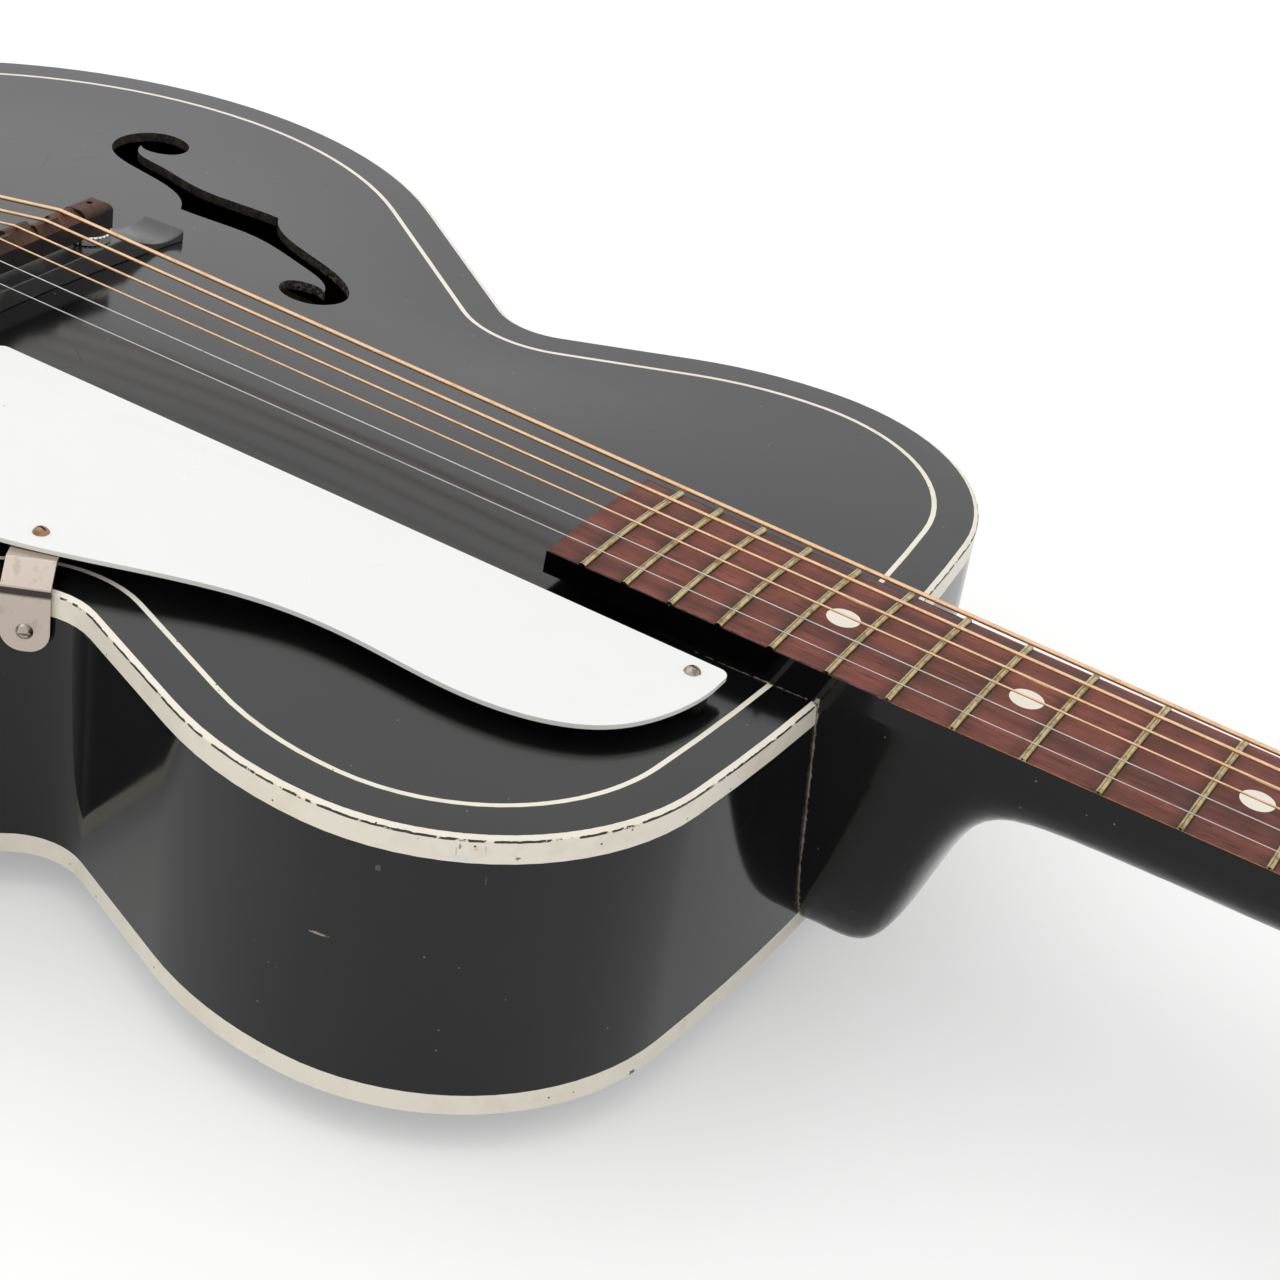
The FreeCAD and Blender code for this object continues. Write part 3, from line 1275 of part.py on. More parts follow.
def build_tuner_plate(label, side):
    plate = doc.addObject("PartDesign::Body", label)
    middle = "%d * sizes.post_side" % side
    low = "%d * (sizes.post_side - sizes.plate_width / 2)" % side
    high = "%d * (sizes.post_side + sizes.plate_width / 2)" % side
    start = "sizes.first_post - sizes.plate_end"
    end = "sizes.first_post + 2 * sizes.post_pitch + sizes.plate_end"
    sheet_sketch = outline(plate, "XY_Plane", label + "_outline",
                           [(start, low), (end, low), (end, high), (start, high)])
    padded(plate, sheet_sketch, label + "_sheet", "sizes.plate_thickness", reverse=True)
    distance = "(sizes.gear_teeth * sizes.worm_pitch / 6.2831853 + sizes.worm_radius)"
    ear_in = "sizes.worm_length / 2 + sizes.ear_gap"
    ear_out = ear_in + " + sizes.ear_thickness"
    axis_down = "(sizes.plate_thickness + sizes.worm_gap + sizes.worm_radius + sizes.tooth_addendum)"
    ears = []
    for k in range(3):
        u = "sizes.first_post + %d * sizes.post_pitch + %s" % (k, distance)
        near = u + " - sizes.ear_width / 2"
        far = u + " + sizes.ear_width / 2"
        for hand in (1, -1):
            inner = "%s + %d * (%s)" % (middle, hand, ear_in)
            outer = "%s + %d * (%s)" % (middle, hand, ear_out)
            ears.append([(near, inner), (far, inner), (far, outer), (near, outer)])
    ear_sketch = outline(plate, "XY_Plane", label + "_ears_outline", *ears)
    padded(plate, ear_sketch, label + "_ears", axis_down + " + sizes.ear_width / 2", reverse=True)
    shaft_bore = "sizes.journal_radius + sizes.running_clearance"
    bores = [("sizes.first_post + %d * sizes.post_pitch + %s" % (k, distance), "-" + axis_down, shaft_bore)
             for k in range(3)]
    bore_sketch = circles(plate, "XZ_Plane", label + "_bores_outline", bores)
    pocketed(plate, bore_sketch, label + "_bores", "4 * sizes.head_tip_width", middle=True)
    post_bore = "sizes.post_radius + sizes.running_clearance"
    posts = [("sizes.first_post + %d * sizes.post_pitch" % k, middle, post_bore) for k in range(3)]
    places = ("sizes.first_post - sizes.plate_end + sizes.plate_screw_inset",
              "sizes.first_post + 0.58 * sizes.post_pitch",
              "sizes.first_post + 1.58 * sizes.post_pitch",
              "sizes.first_post + 2 * sizes.post_pitch + sizes.plate_end - sizes.plate_screw_inset")
    screw_v = "%d * (sizes.post_side - sizes.plate_screw_shift)" % side
    screws = [(u, screw_v, "sizes.screw_shank_radius") for u in places]
    hole_sketch = circles(plate, "XY_Plane", label + "_holes_outline", posts + screws)
    pocketed(plate, hole_sketch, label + "_holes", "4 * sizes.plate_thickness", middle=True)
    keep(plate, label, head_place * Placement(Vector(0, 0, -s.head_thickness), Rotation()))


def build_plate_screws():
    screws = []
    for spot in plate_screw_spots():
        screw = dome_screw(s.plate_screw_grip)
        seat = spot - Vector(0, 0, s.head_thickness + s.plate_thickness)
        screw.Placement = Placement(seat, Rotation(Vector(1, 0, 0), 180))
        screws.append(screw)
    feature("tuner_plate_screws", compound_of(screws), head_place)


def build_ferrules():
    collars = []
    for number in range(1, 7):
        face = s.veneer_thickness
        sleeve = rod(tuner_spot(number, face - s.sleeve_length), tuner_spot(number, face), s.sleeve_radius)
        flange = rod(tuner_spot(number, face), tuner_spot(number, face + s.ferrule_flange), s.ferrule_radius)
        bore = rod(tuner_spot(number, -s.head_thickness), tuner_spot(number, s.post_top),
                   s.post_radius + s.running_clearance)
        collars.append(sleeve.fuse(flange).removeSplitter().cut(bore))
    feature("post_ferrules", compound_of(collars), head_place)


def build_string_post(number):
    label = "string_post_%d" % number
    post = doc.addObject("PartDesign::Body", label)
    pitch_radius = "sizes.gear_teeth * sizes.worm_pitch / 6.2831853"
    root = pitch_radius + " - sizes.tooth_dedendum"
    wheel = "sizes.gear_thickness"
    axis_up = "sizes.worm_gap + sizes.worm_radius + sizes.tooth_addendum + sizes.gear_thickness / 2"
    collar_top = axis_up + " - sizes.flat_clearance"
    top = axis_up + " + sizes.plate_thickness + sizes.head_thickness + sizes.post_top"
    profile = outline(post, "XZ_Plane", label + "_profile", [
        ("0", "-1.4"), ("2.4", "-1.4"), ("2.4", "0"), (root, "0"), (root, wheel),
        ("sizes.post_radius + 0.8", wheel), ("sizes.post_radius + 0.8", collar_top),
        ("sizes.post_radius", collar_top), ("sizes.post_radius", top + " - 0.6"),
        ("sizes.post_radius - 0.6", top), ("0", top)])
    revolved(post, profile, label + "_turned")
    doc.recompute()
    half = "sizes.tooth_width / 2"
    tip_half = half + " - sizes.tooth_addendum * sizes.flank_slope"
    root_half = half + " + sizes.tooth_dedendum * sizes.flank_slope"
    sunk = root + " - 0.3"
    tooth_sketch = outline(post, "XY_Plane", label + "_tooth_outline", [
        (sunk, "-(%s)" % root_half), (pitch_radius + " + sizes.tooth_addendum", "-(%s)" % tip_half),
        (pitch_radius + " + sizes.tooth_addendum", tip_half), (sunk, root_half)])
    tooth = padded(post, tooth_sketch, label + "_tooth", wheel)
    doc.recompute()
    ring = post.newObject("PartDesign::PolarPattern", label + "_teeth")
    ring.Originals = [tooth]
    ring.Axis = (tooth_sketch, ["N_Axis"])
    ring.Angle = 360
    ring.setExpression("Occurrences", "sizes.gear_teeth")
    post.Tip = ring
    spot = tuner_spot(number, worm_axis_n - s.gear_thickness / 2)
    turn = Rotation(Vector(0, 0, 1), 180 / s.gear_teeth)
    keep(post, label, head_place * Placement(spot, turn))


thread_steps = 12


def worm_thread():
    # one ridge in straight facets, its middle facing the wheel at the worm's middle
    pitch = s.worm_pitch
    root = s.worm_radius - s.tooth_dedendum - 0.25
    turns = s.worm_length / pitch - 1
    count = int(turns * thread_steps)
    half = s.tooth_width / 2
    tip_half = half - s.tooth_addendum * s.flank_slope
    root_half = half + (s.worm_radius - root) * s.flank_slope
    sections = []
    for k in range(count + 1):
        turn = 2 * math.pi * k / thread_steps - math.pi * turns
        z = pitch * turn / (2 * math.pi)
        out = Vector(math.cos(turn), math.sin(turn), 0)
        corners = [out * root + Vector(0, 0, z - root_half), out * worm_tip + Vector(0, 0, z - tip_half),
                   out * worm_tip + Vector(0, 0, z + tip_half), out * root + Vector(0, 0, z + root_half)]
        sections.append(Part.makePolygon(corners + corners[:1]))
    return Part.makeLoft(sections, True, True)


def worm_shape():
    core = s.worm_radius - s.tooth_dedendum
    half = s.worm_length / 2
    inner_end = -half - s.ear_gap - s.ear_thickness - 0.3
    outer_end = shaft_reach() + s.button_length * 0.7
    body = rod(Vector(0, 0, -half - s.ear_gap + s.flat_clearance), Vector(0, 0, half + s.ear_gap - s.flat_clearance),
               core)
    shaft = rod(Vector(0, 0, inner_end), Vector(0, 0, outer_end), s.journal_radius)
    return body.fuse([shaft, worm_thread()]).removeSplitter().Solids[0]


def shaft_reach():
    return s.head_tip_width / 2 + s.button_gap - s.post_side


def worm_place(number):
    # local z runs out of the head, local x faces the wheel
    side = tuner_side(number)
    spot = tuner_spot(number, worm_axis_n, centre_distance)
    frame = Rotation(Vector(-1, 0, 0), Vector(0, 0, side), Vector(0, side, 0), "ZXY")
    return head_place * Placement(spot, frame)


def build_button(number):
    label = "tuner_button_%d" % number
    button = doc.addObject("PartDesign::Body", label)
    wide = "sizes.button_width / 2"
    long = "sizes.button_length"
    paddle = outline(button, "XZ_Plane", label + "_outline", [
        ("-0.5 * %s" % wide, "0"), ("0.5 * %s" % wide, "0"), (wide, "0.42 * %s" % long),
        (wide, "0.76 * %s" % long), ("0.6 * %s" % wide, long), ("-0.6 * %s" % wide, long),
        ("-%s" % wide, "0.76 * %s" % long), ("-%s" % wide, "0.42 * %s" % long)])
    padded(button, paddle, label + "_paddle", "sizes.button_thickness", middle=True)
    doc.recompute()
    rounded = button.newObject("PartDesign::Fillet", label + "_rounded")
    pad = button.Group[-2]
    rounded.Base = (pad, ["Edge%d" % (k + 1) for k in range(len(pad.Shape.Edges))])
    rounded.setExpression("Radius", "sizes.button_round")
    doc.recompute()
    bore = circles(button, "XY_Plane", label + "_bore_outline", [("0", "0", "sizes.journal_radius")])
    pocketed(button, bore, label + "_bore", "0.7 * sizes.button_length", reverse=True)
    keep(button, label, worm_place(number) * Placement(Vector(0, 0, shaft_reach()), Rotation()))


def build_tuners():
    for label, side in (("tuner_plate_bass", 1), ("tuner_plate_treble", -1)):
        build_tuner_plate(label, side)
    build_plate_screws()
    build_ferrules()
    worm = worm_shape()
    for number in range(1, 7):
        feature("worm_shaft_%d" % number, worm.copy(), worm_place(number))
        build_button(number)
        build_string_post(number)


build_body()
build_neck()
build_fretboard()
build_nut()
build_veneer()
build_bridge_base()
build_bridge_posts()
build_thumbwheel("thumbwheel_bass", 1)
build_thumbwheel("thumbwheel_treble", -1)
build_saddle()
build_pickguard()
build_bracket()
build_guard_fixings()
build_tailpiece()
build_tail_hinge()
build_end_pin()
build_tuners()
build_strings()
doc.recompute()

# Stand the guitar on z = 0 with its origin under the middle of its box
whole = FreeCAD.BoundBox()
for piece in pieces.values():
    whole.add(piece.Shape.optimalBoundingBox(False))
stand = Placement(Vector(-whole.Center.x, -whole.Center.y, -whole.ZMin), Rotation())
for piece in pieces.values():
    piece.Placement = stand * piece.Placement
doc.recompute()

for item in doc.Objects:
    if "Invalid" in item.State or "Error" in item.State:
        raise ValueError("%s failed: %s" % (item.Name, item.State))
for label, piece in pieces.items():
    if piece.Shape.isNull() or not piece.Shape.isValid():
        raise ValueError("%s has no valid shape" % label)

os.makedirs("parts", exist_ok=True)
for label, piece in pieces.items():
    piece.Shape.exportStep("parts/%s.step" % label)
print("%d pieces, %.0f x %.0f x %.0f mm" % (len(pieces), whole.XLength, whole.YLength, whole.ZLength))
print("body's edge at the neck lies at x = %.2f mm, the rim at z = %.2f mm" % (stand.Base.x, stand.Base.z))
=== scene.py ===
import math
import bpy
from mathutils import Matrix, Vector


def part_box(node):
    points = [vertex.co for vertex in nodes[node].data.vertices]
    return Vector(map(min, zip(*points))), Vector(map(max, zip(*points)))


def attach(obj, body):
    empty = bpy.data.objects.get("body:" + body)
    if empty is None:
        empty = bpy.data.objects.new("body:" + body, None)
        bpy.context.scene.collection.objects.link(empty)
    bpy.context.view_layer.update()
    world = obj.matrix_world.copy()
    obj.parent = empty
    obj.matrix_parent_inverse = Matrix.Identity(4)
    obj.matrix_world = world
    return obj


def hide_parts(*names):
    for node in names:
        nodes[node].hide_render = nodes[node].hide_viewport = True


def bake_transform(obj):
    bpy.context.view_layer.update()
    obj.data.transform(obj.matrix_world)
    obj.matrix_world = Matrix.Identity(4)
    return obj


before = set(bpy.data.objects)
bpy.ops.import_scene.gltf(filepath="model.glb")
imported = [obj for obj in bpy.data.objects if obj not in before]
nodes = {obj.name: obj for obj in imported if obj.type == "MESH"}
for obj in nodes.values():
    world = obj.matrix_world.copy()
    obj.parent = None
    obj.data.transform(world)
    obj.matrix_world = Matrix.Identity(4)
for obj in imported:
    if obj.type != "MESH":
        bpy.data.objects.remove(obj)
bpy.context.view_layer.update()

mm = 0.001
print("frame loaded:", len(nodes), "nodes")


# camera at the photograph's view
cameraView = {
    "place": (0.1964, -0.5747, 0.4491),
    "forward": (-0.36088, 0.78163, -0.50875),
    "rollDegrees": 9.165,
    "lens": 75.43,
    "sensor": 36.0,
    "clip": (0.01, 50),
}


def addCamera(view):
    data = bpy.data.cameras.new("photoCamera")
    data.sensor_width = view["sensor"]
    data.lens = view["lens"]
    data.clip_start, data.clip_end = view["clip"]
    camera = bpy.data.objects.new("photoCamera", data)
    bpy.context.scene.collection.objects.link(camera)
    turn = Vector(view["forward"]).to_track_quat("-Z", "Y").to_matrix().to_4x4()
    roll = Matrix.Rotation(math.radians(view["rollDegrees"]), 4, "Z")
    camera.matrix_world = Matrix.Translation(view["place"]) @ turn @ roll
    bpy.context.scene.camera = camera


addCamera(cameraView)
bpy.context.scene.view_settings.view_transform = "Standard"


# node helpers
def put(tree, kind, inputs=None, **settings):
    made = tree.nodes.new("ShaderNode" + kind)
    for key, value in settings.items():
        setattr(made, key, value)
    for key, value in (inputs or {}).items():
        if isinstance(value, bpy.types.NodeSocket):
            tree.links.new(value, made.inputs[key])
        else:
            made.inputs[key].default_value = value
    return made


def calc(tree, operation, *values):
    return put(tree, "Math", dict(enumerate(values)), operation=operation).outputs[0]


# two or four values in a look are such a ramp: low, high and what they become
def ramp(tree, value, low, high, outLow=0.0, outHigh=1.0):
    made = put(tree, "MapRange", {"Value": value, "From Min": low, "From Max": high,
                                  "To Min": outLow, "To Max": outHigh})
    return made.outputs["Result"]


def blendColour(tree, factor, first, second):
    made = put(tree, "Mix", {0: factor, 6: first, 7: second}, data_type="RGBA")
    return made.outputs[2]


def objectPlace(tree, scale=(1, 1, 1)):
    place = put(tree, "TexCoord").outputs["Object"]
    return put(tree, "Mapping", {"Vector": place, "Scale": scale}).outputs[0]


# X, Y and Z of a place on the piece or of its normal
def partsOf(tree, what):
    return put(tree, "SeparateXYZ", {"Vector": put(tree, "TexCoord").outputs[what]}).outputs


def cloudNoise(tree, scale, detail, rough=0.5, stretch=(1, 1, 1)):
    made = put(tree, "TexNoise", {"Vector": objectPlace(tree, stretch), "Scale": scale,
                                  "Detail": detail, "Roughness": rough})
    return made.outputs


def scaledColour(colour, factor):
    return tuple(value * factor for value in colour[:3]) + (1,)


def newGroup(name, inputs, outputs):
    tree = bpy.data.node_groups.new(name, "ShaderNodeTree")
    for label, value in inputs.items():
        socket = tree.interface.new_socket(label, in_out="INPUT", socket_type="NodeSocketFloat")
        socket.default_value = value
    for label in outputs:
        tree.interface.new_socket(label, in_out="OUTPUT", socket_type="NodeSocketFloat")
    start = tree.nodes.new("NodeGroupInput")
    end = tree.nodes.new("NodeGroupOutput")
    return tree, start.outputs, end.inputs


def useGroup(tree, group, **values):
    made = tree.nodes.new("ShaderNodeGroup")
    made.node_tree = group
    for key, value in values.items():
        made.inputs[key].default_value = value
    return made.outputs


# soft patches where a finish is rubbed, stained or dulled
patchLook = {"detail": 6, "rough": 0.62}


def makePatches(look):
    tree, given, out = newGroup("rubbedPatches", {"scale": 40, "low": 0.5, "high": 0.7}, ["mask"])
    cloud = cloudNoise(tree, given["scale"], look["detail"], look["rough"])["Fac"]
    tree.links.new(ramp(tree, cloud, given["low"], given["high"]), out["mask"])
    return tree


# scattered dust, nicks and pinholes
def makeSpecks():
    inputs = {"scale": 300, "size": 0.15, "share": 0.2}
    tree, given, out = newGroup("scatteredSpecks", inputs, ["mask"])
    cells = put(tree, "TexVoronoi", {"Vector": objectPlace(tree), "Scale": given["scale"]})
    near = calc(tree, "LESS_THAN", cells.outputs["Distance"], given["size"])
    shade = put(tree, "SeparateColor", {"Color": cells.outputs["Color"]})
    chosen = calc(tree, "LESS_THAN", shade.outputs[0], given["share"])
    tree.links.new(calc(tree, "MULTIPLY", near, chosen), out["mask"])
    return tree


# long fine scratches, thin where two stretched cells meet
scratchLook = {
    "stretch": (0.35, 1, 1),
    "wobble": {"scale": 9, "detail": 2},
    "sway": 0.06,
    "fade": {"scale": 24, "detail": 3},
}


def makeScratches(look):
    inputs = {"scale": 30, "width": 0.01, "share": 0.5}
    tree, given, out = newGroup("hairScratches", inputs, ["mask"])
    place = objectPlace(tree, look["stretch"])
    wobble = cloudNoise(tree, **look["wobble"], stretch=look["stretch"])["Color"]
    moved = put(tree, "MixRGB", {0: look["sway"], 1: place, 2: wobble})
    cells = put(tree, "TexVoronoi", {"Vector": moved.outputs[0], "Scale": given["scale"]},
                feature="DISTANCE_TO_EDGE")
    line = calc(tree, "LESS_THAN", cells.outputs["Distance"], given["width"])
    fade = cloudNoise(tree, **look["fade"], stretch=look["stretch"])["Fac"]
    kept = calc(tree, "GREATER_THAN", fade, given["share"])
    tree.links.new(calc(tree, "MULTIPLY", line, kept), out["mask"])
    return tree


# figure of wood that runs along the neck
figureLook = {
    "stretch": (0.07, 1, 1),
    "broad": {"detail": 7, "rough": 0.66},
    "fine": {"detail": 3},
    "streak": (0.3, 0.7),
    "pore": (0.56, 0.68),
}


def makeFigure(look):
    inputs = {"scale": 60, "pores": 900}
    tree, given, out = newGroup("woodFigure", inputs, ["streak", "pore"])
    broad = cloudNoise(tree, given["scale"], **look["broad"], stretch=look["stretch"])["Fac"]
    fine = cloudNoise(tree, given["pores"], **look["fine"], stretch=look["stretch"])["Fac"]
    tree.links.new(ramp(tree, broad, *look["streak"]), out["streak"])
    tree.links.new(ramp(tree, fine, *look["pore"]), out["pore"])
    return tree


rubbedPatches = makePatches(patchLook)
scatteredSpecks = makeSpecks()
hairScratches = makeScratches(scratchLook)
woodFigure = makeFigure(figureLook)


# masks of the shared groups, by their values
def patches(tree, scale, low, high):
    return useGroup(tree, rubbedPatches, scale=scale, low=low, high=high)["mask"]


def specks(tree, scale, size, share):
    return useGroup(tree, scatteredSpecks, scale=scale, size=size, share=share)["mask"]


def scratches(tree, scale, width, share):
    return useGroup(tree, hairScratches, scale=scale, width=width, share=share)["mask"]


def newMaterial(name, **sockets):
    material = bpy.data.materials.new(name)
    material.use_nodes = True
    shader = material.node_tree.nodes["Principled BSDF"]
    for key, value in sockets.items():
        shader.inputs[key].default_value = value
    return material, material.node_tree, shader.inputs


# a finished material is opened again, with the colour that it has so far
def openMaterial(material):
    tree = material.node_tree
    shader = tree.nodes["Principled BSDF"].inputs
    return tree, shader, shader["Base Color"].links[0].from_socket


# one ragged mark at a place on the surface
spotLook = {
    "rag": {"scale": 1800, "detail": 2},
    "edge": (0.3, 0.7, 0.5, 1.3),
}


def spotMask(tree, place, size):
    scale = [1 / reach for reach in size]
    shift = [-spot / reach for spot, reach in zip(place, size)]
    where = put(tree, "TexCoord").outputs["Object"]
    local = put(tree, "Mapping", {"Vector": where, "Location": shift, "Scale": scale})
    away = put(tree, "VectorMath", {0: local.outputs[0]}, operation="LENGTH").outputs["Value"]
    ragged = cloudNoise(tree, **spotLook["rag"])["Fac"]
    return calc(tree, "LESS_THAN", away, ramp(tree, ragged, *spotLook["edge"]))


# marks have their place in metres and their size in mm
def addMarks(material, marks):
    for mark in marks:
        tree, shader, under = openMaterial(material)
        spot = spotMask(tree, mark["place"], [reach * mm for reach in mark["size"]])
        mask = calc(tree, "MULTIPLY", spot, mark["strength"])
        tree.links.new(blendColour(tree, mask, under, mark["colour"]), shader["Base Color"])


# gloss lacquer, nearly black, with dust and rubbed places
lacquerLook = {
    "rubbed": {"scale": 34, "low": 0.45, "high": 0.8},
    "dust": {"scale": 420, "size": 0.11},
    "hairs": {"scale": 38, "width": 0.004, "share": 0.6},
    "deep": (0.0012, 0.0012, 0.0014, 1),
    "thin": (0.0032, 0.003, 0.0028, 1),
    "dustColour": (0.16, 0.155, 0.14, 1),
    "rubbedRough": 0.05,
    "hairRough": 0.12,
}


def makeLacquer(name, dust, rough, gloss):
    material, tree, shader = newMaterial(name, IOR=gloss)
    rubbed = patches(tree, **lacquerLook["rubbed"])
    dusty = specks(tree, **lacquerLook["dust"], share=dust)
    hairs = scratches(tree, **lacquerLook["hairs"])
    colour = blendColour(tree, rubbed, lacquerLook["deep"], lacquerLook["thin"])
    colour = blendColour(tree, dusty, colour, lacquerLook["dustColour"])
    tree.links.new(colour, shader["Base Color"])
    dull = calc(tree, "MULTIPLY_ADD", rubbed, lacquerLook["rubbedRough"], rough)
    scored = calc(tree, "MULTIPLY_ADD", hairs, lacquerLook["hairRough"], dull)
    tree.links.new(scored, shader["Roughness"])
    return material


# the neck's lacquer is cracked white along the body's end and along the tongue
jointLook = {
    "rag": {"scale": 500, "detail": 4, "rough": 0.7},
    "tongueCrack": (0.36, 0.62, -0.1 * mm, 0.45 * mm),
    "heelCrack": (0.34, 0.66, 0.1 * mm, 0.95 * mm),
    "crackTop": 1.5 * mm,    # the crack at the body's end stops this far above the rim
    "bow": 0.6,    # how far the body's end falls back beside the neck, per metre squared
    "rise": 0.012,    # slope of the top along the tongue
    "beside": 0.5,    # faces that look along the neck have no crack
    "dust": {"scale": 700, "low": 0.4, "high": 0.6},
    "pale": (0.33, 0.3, 0.26, 1),
    "brown": (0.16, 0.11, 0.07, 1),
}


def crackNeck(material, look):
    tree, shader, lacquer = openMaterial(material)
    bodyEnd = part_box("treble_side")[1].x
    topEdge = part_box("top_binding")[1].z
    place = partsOf(tree, "Object")
    ragged = cloudNoise(tree, **look["rag"])["Fac"]
    # along the body's end, under the rim
    square = calc(tree, "MULTIPLY", place["Y"], place["Y"])
    fall = calc(tree, "MULTIPLY", square, look["bow"])
    ahead = calc(tree, "SUBTRACT", calc(tree, "ADD", place["X"], fall), bodyEnd)
    heelWidth = ramp(tree, ragged, *look["heelCrack"])
    atEnd = calc(tree, "LESS_THAN", calc(tree, "ABSOLUTE", ahead), heelWidth)
    low = calc(tree, "LESS_THAN", place["Z"], topEdge + look["crackTop"])
    atEnd = calc(tree, "MULTIPLY", atEnd, low)
    # along the tongue, on the top
    climb = calc(tree, "MULTIPLY", calc(tree, "SUBTRACT", bodyEnd, place["X"]), look["rise"])
    above = calc(tree, "SUBTRACT", calc(tree, "SUBTRACT", place["Z"], climb), topEdge)
    tongueWidth = ramp(tree, ragged, *look["tongueCrack"])
    onTop = calc(tree, "MULTIPLY", calc(tree, "LESS_THAN", above, tongueWidth),
                 calc(tree, "LESS_THAN", ahead, 0.0))
    facing = calc(tree, "ABSOLUTE", partsOf(tree, "Normal")["X"])
    beside = calc(tree, "LESS_THAN", facing, look["beside"])
    crack = calc(tree, "MULTIPLY", calc(tree, "MAXIMUM", atEnd, onTop), beside)
    pale = blendColour(tree, patches(tree, **look["dust"]), look["pale"], look["brown"])
    tree.links.new(blendColour(tree, crack, lacquer, pale), shader["Base Color"])


# nicks in the side's lacquer
sideMarks = (
    {"place": (-0.0725, -0.1444, 0.0582), "size": (2.3, 2, 0.4),
     "strength": 0.9, "colour": (0.34, 0.27, 0.21, 1)},
    {"place": (-0.0598, -0.1419, 0.0821), "size": (0.7, 0.7, 0.9),
     "strength": 0.35, "colour": (0.2, 0.19, 0.17, 1)},
    {"place": (-0.0374, -0.1308, 0.0831), "size": (0.2, 0.3, 1.4),
     "strength": 0.25, "colour": (0.2, 0.2, 0.19, 1)},
)
# one lacquer with three strengths of reflection: the lower IOR of the neck and sides is painted
# shade, for the darker studio in front of them
topLacquer = makeLacquer("topLacquer", dust=0.02, rough=0.15, gloss=1.6)
neckLacquer = makeLacquer("neckLacquer", dust=0.03, rough=0.07, gloss=1.35)
crackNeck(neckLacquer, jointLook)
sideLacquer = makeLacquer("sideLacquer", dust=0.025, rough=0.07, gloss=1.42)
addMarks(sideLacquer, sideMarks)


# bare spruce inside the box
spruceLook = {
    "figure": {"scale": 320, "pores": 1500},
    "dark": (0.30, 0.17, 0.075, 1),
    "light": (0.46, 0.29, 0.14, 1),
    "pore": (0.2, 0.1, 0.04, 1),
}


def makeSpruce(look):
    material, tree, shader = newMaterial("bareSpruce", Roughness=0.75)
    figure = useGroup(tree, woodFigure, **look["figure"])
    colour = blendColour(tree, figure["streak"], look["dark"], look["light"])
    tree.links.new(blendColour(tree, figure["pore"], colour, look["pore"]), shader["Base Color"])
    return material


bareSpruce = makeSpruce(spruceLook)


# cut edge of the f holes: dark stain, scuffed to wood and grey
holeLook = {
    "scuff": (-0.27, -0.2, 0.12, 1.0),    # the edge is rubbed pale toward the neck
    "stained": {"scale": 210, "low": 0.5, "high": 0.66},
    "worn": {"scale": 900, "low": 0.5, "high": 0.6},
    "dark": (0.008, 0.007, 0.006, 1),
    "brown": (0.045, 0.028, 0.015, 1),
    "pale": (0.3, 0.26, 0.19, 1),
}


def makeHoleEdge(look):
    material, tree, shader = newMaterial("holeEdge", Roughness=0.55)
    stained = patches(tree, **look["stained"])
    worn = patches(tree, **look["worn"])
    toNeck = ramp(tree, partsOf(tree, "Object")["X"], *look["scuff"])
    brown = blendColour(tree, stained, look["dark"], look["brown"])
    scuff = calc(tree, "MULTIPLY", worn, toNeck)
    tree.links.new(blendColour(tree, scuff, brown, look["pale"]), shader["Base Color"])
    return material


holeEdge = makeHoleEdge(holeLook)


# old cream celluloid with stains, nicks and the worn line at its outer corner
bindingLook = {
    "cream": (0.87, 0.82, 0.7, 1),
    "stain": {"scale": 26, "low": 0.48, "high": 0.72},
    "stainColour": (0.79, 0.71, 0.56, 1),
    "cloud": {"scale": 160, "low": 0.5, "high": 0.8},
    "cloudColour": (0.70, 0.62, 0.49, 1),
    "cloudShare": 0.5,
    "crack": {"scale": 90, "width": 0.012, "share": 0.66},
    "crackColour": (0.26, 0.19, 0.12, 1),
    "crackShare": 0.55,
    "nick": {"scale": 520, "size": 0.16, "share": 0.045},
    "nickColour": (0.10, 0.07, 0.045, 1),
    "edgeRise": 0.8 * mm,    # slope above the outer corner
    "lineRise": 0.1 * mm,
    "lineHeight": 0.5 * mm,    # worn black line under the corner
    "lineRag": {"scale": 420, "detail": 4},
    "lineShift": (0.3, 0.7, -0.07 * mm, 0.07 * mm),
    "lineGaps": {"scale": 190, "low": 0.55, "high": 0.58},
    "lineColour": (0.012, 0.011, 0.012, 1),
}


def wornLine(tree, lineTop, look):
    ragged = cloudNoise(tree, **look["lineRag"])["Fac"]
    shift = ramp(tree, ragged, *look["lineShift"])
    height = calc(tree, "ADD", partsOf(tree, "Object")["Z"], shift)
    under = calc(tree, "LESS_THAN", height, lineTop + look["lineRise"])
    over = calc(tree, "GREATER_THAN", height, lineTop - look["lineHeight"])
    whole = calc(tree, "SUBTRACT", 1.0, patches(tree, **look["lineGaps"]))
    return calc(tree, "MULTIPLY", calc(tree, "MULTIPLY", under, over), whole)


def makeCream(name, look, lineTop=None):
    material, tree, shader = newMaterial(name, Roughness=0.28, IOR=1.5)
    stain = patches(tree, **look["stain"])
    cloud = calc(tree, "MULTIPLY", patches(tree, **look["cloud"]), look["cloudShare"])
    crack = calc(tree, "MULTIPLY", scratches(tree, **look["crack"]), look["crackShare"])
    nick = specks(tree, **look["nick"])
    colour = blendColour(tree, stain, look["cream"], look["stainColour"])
    colour = blendColour(tree, cloud, colour, look["cloudColour"])
    colour = blendColour(tree, crack, colour, look["crackColour"])
    colour = blendColour(tree, nick, colour, look["nickColour"])
    if lineTop is not None:
        line = wornLine(tree, lineTop, look)
        colour = blendColour(tree, line, colour, look["lineColour"])
    tree.links.new(colour, shader["Base Color"])
    return material


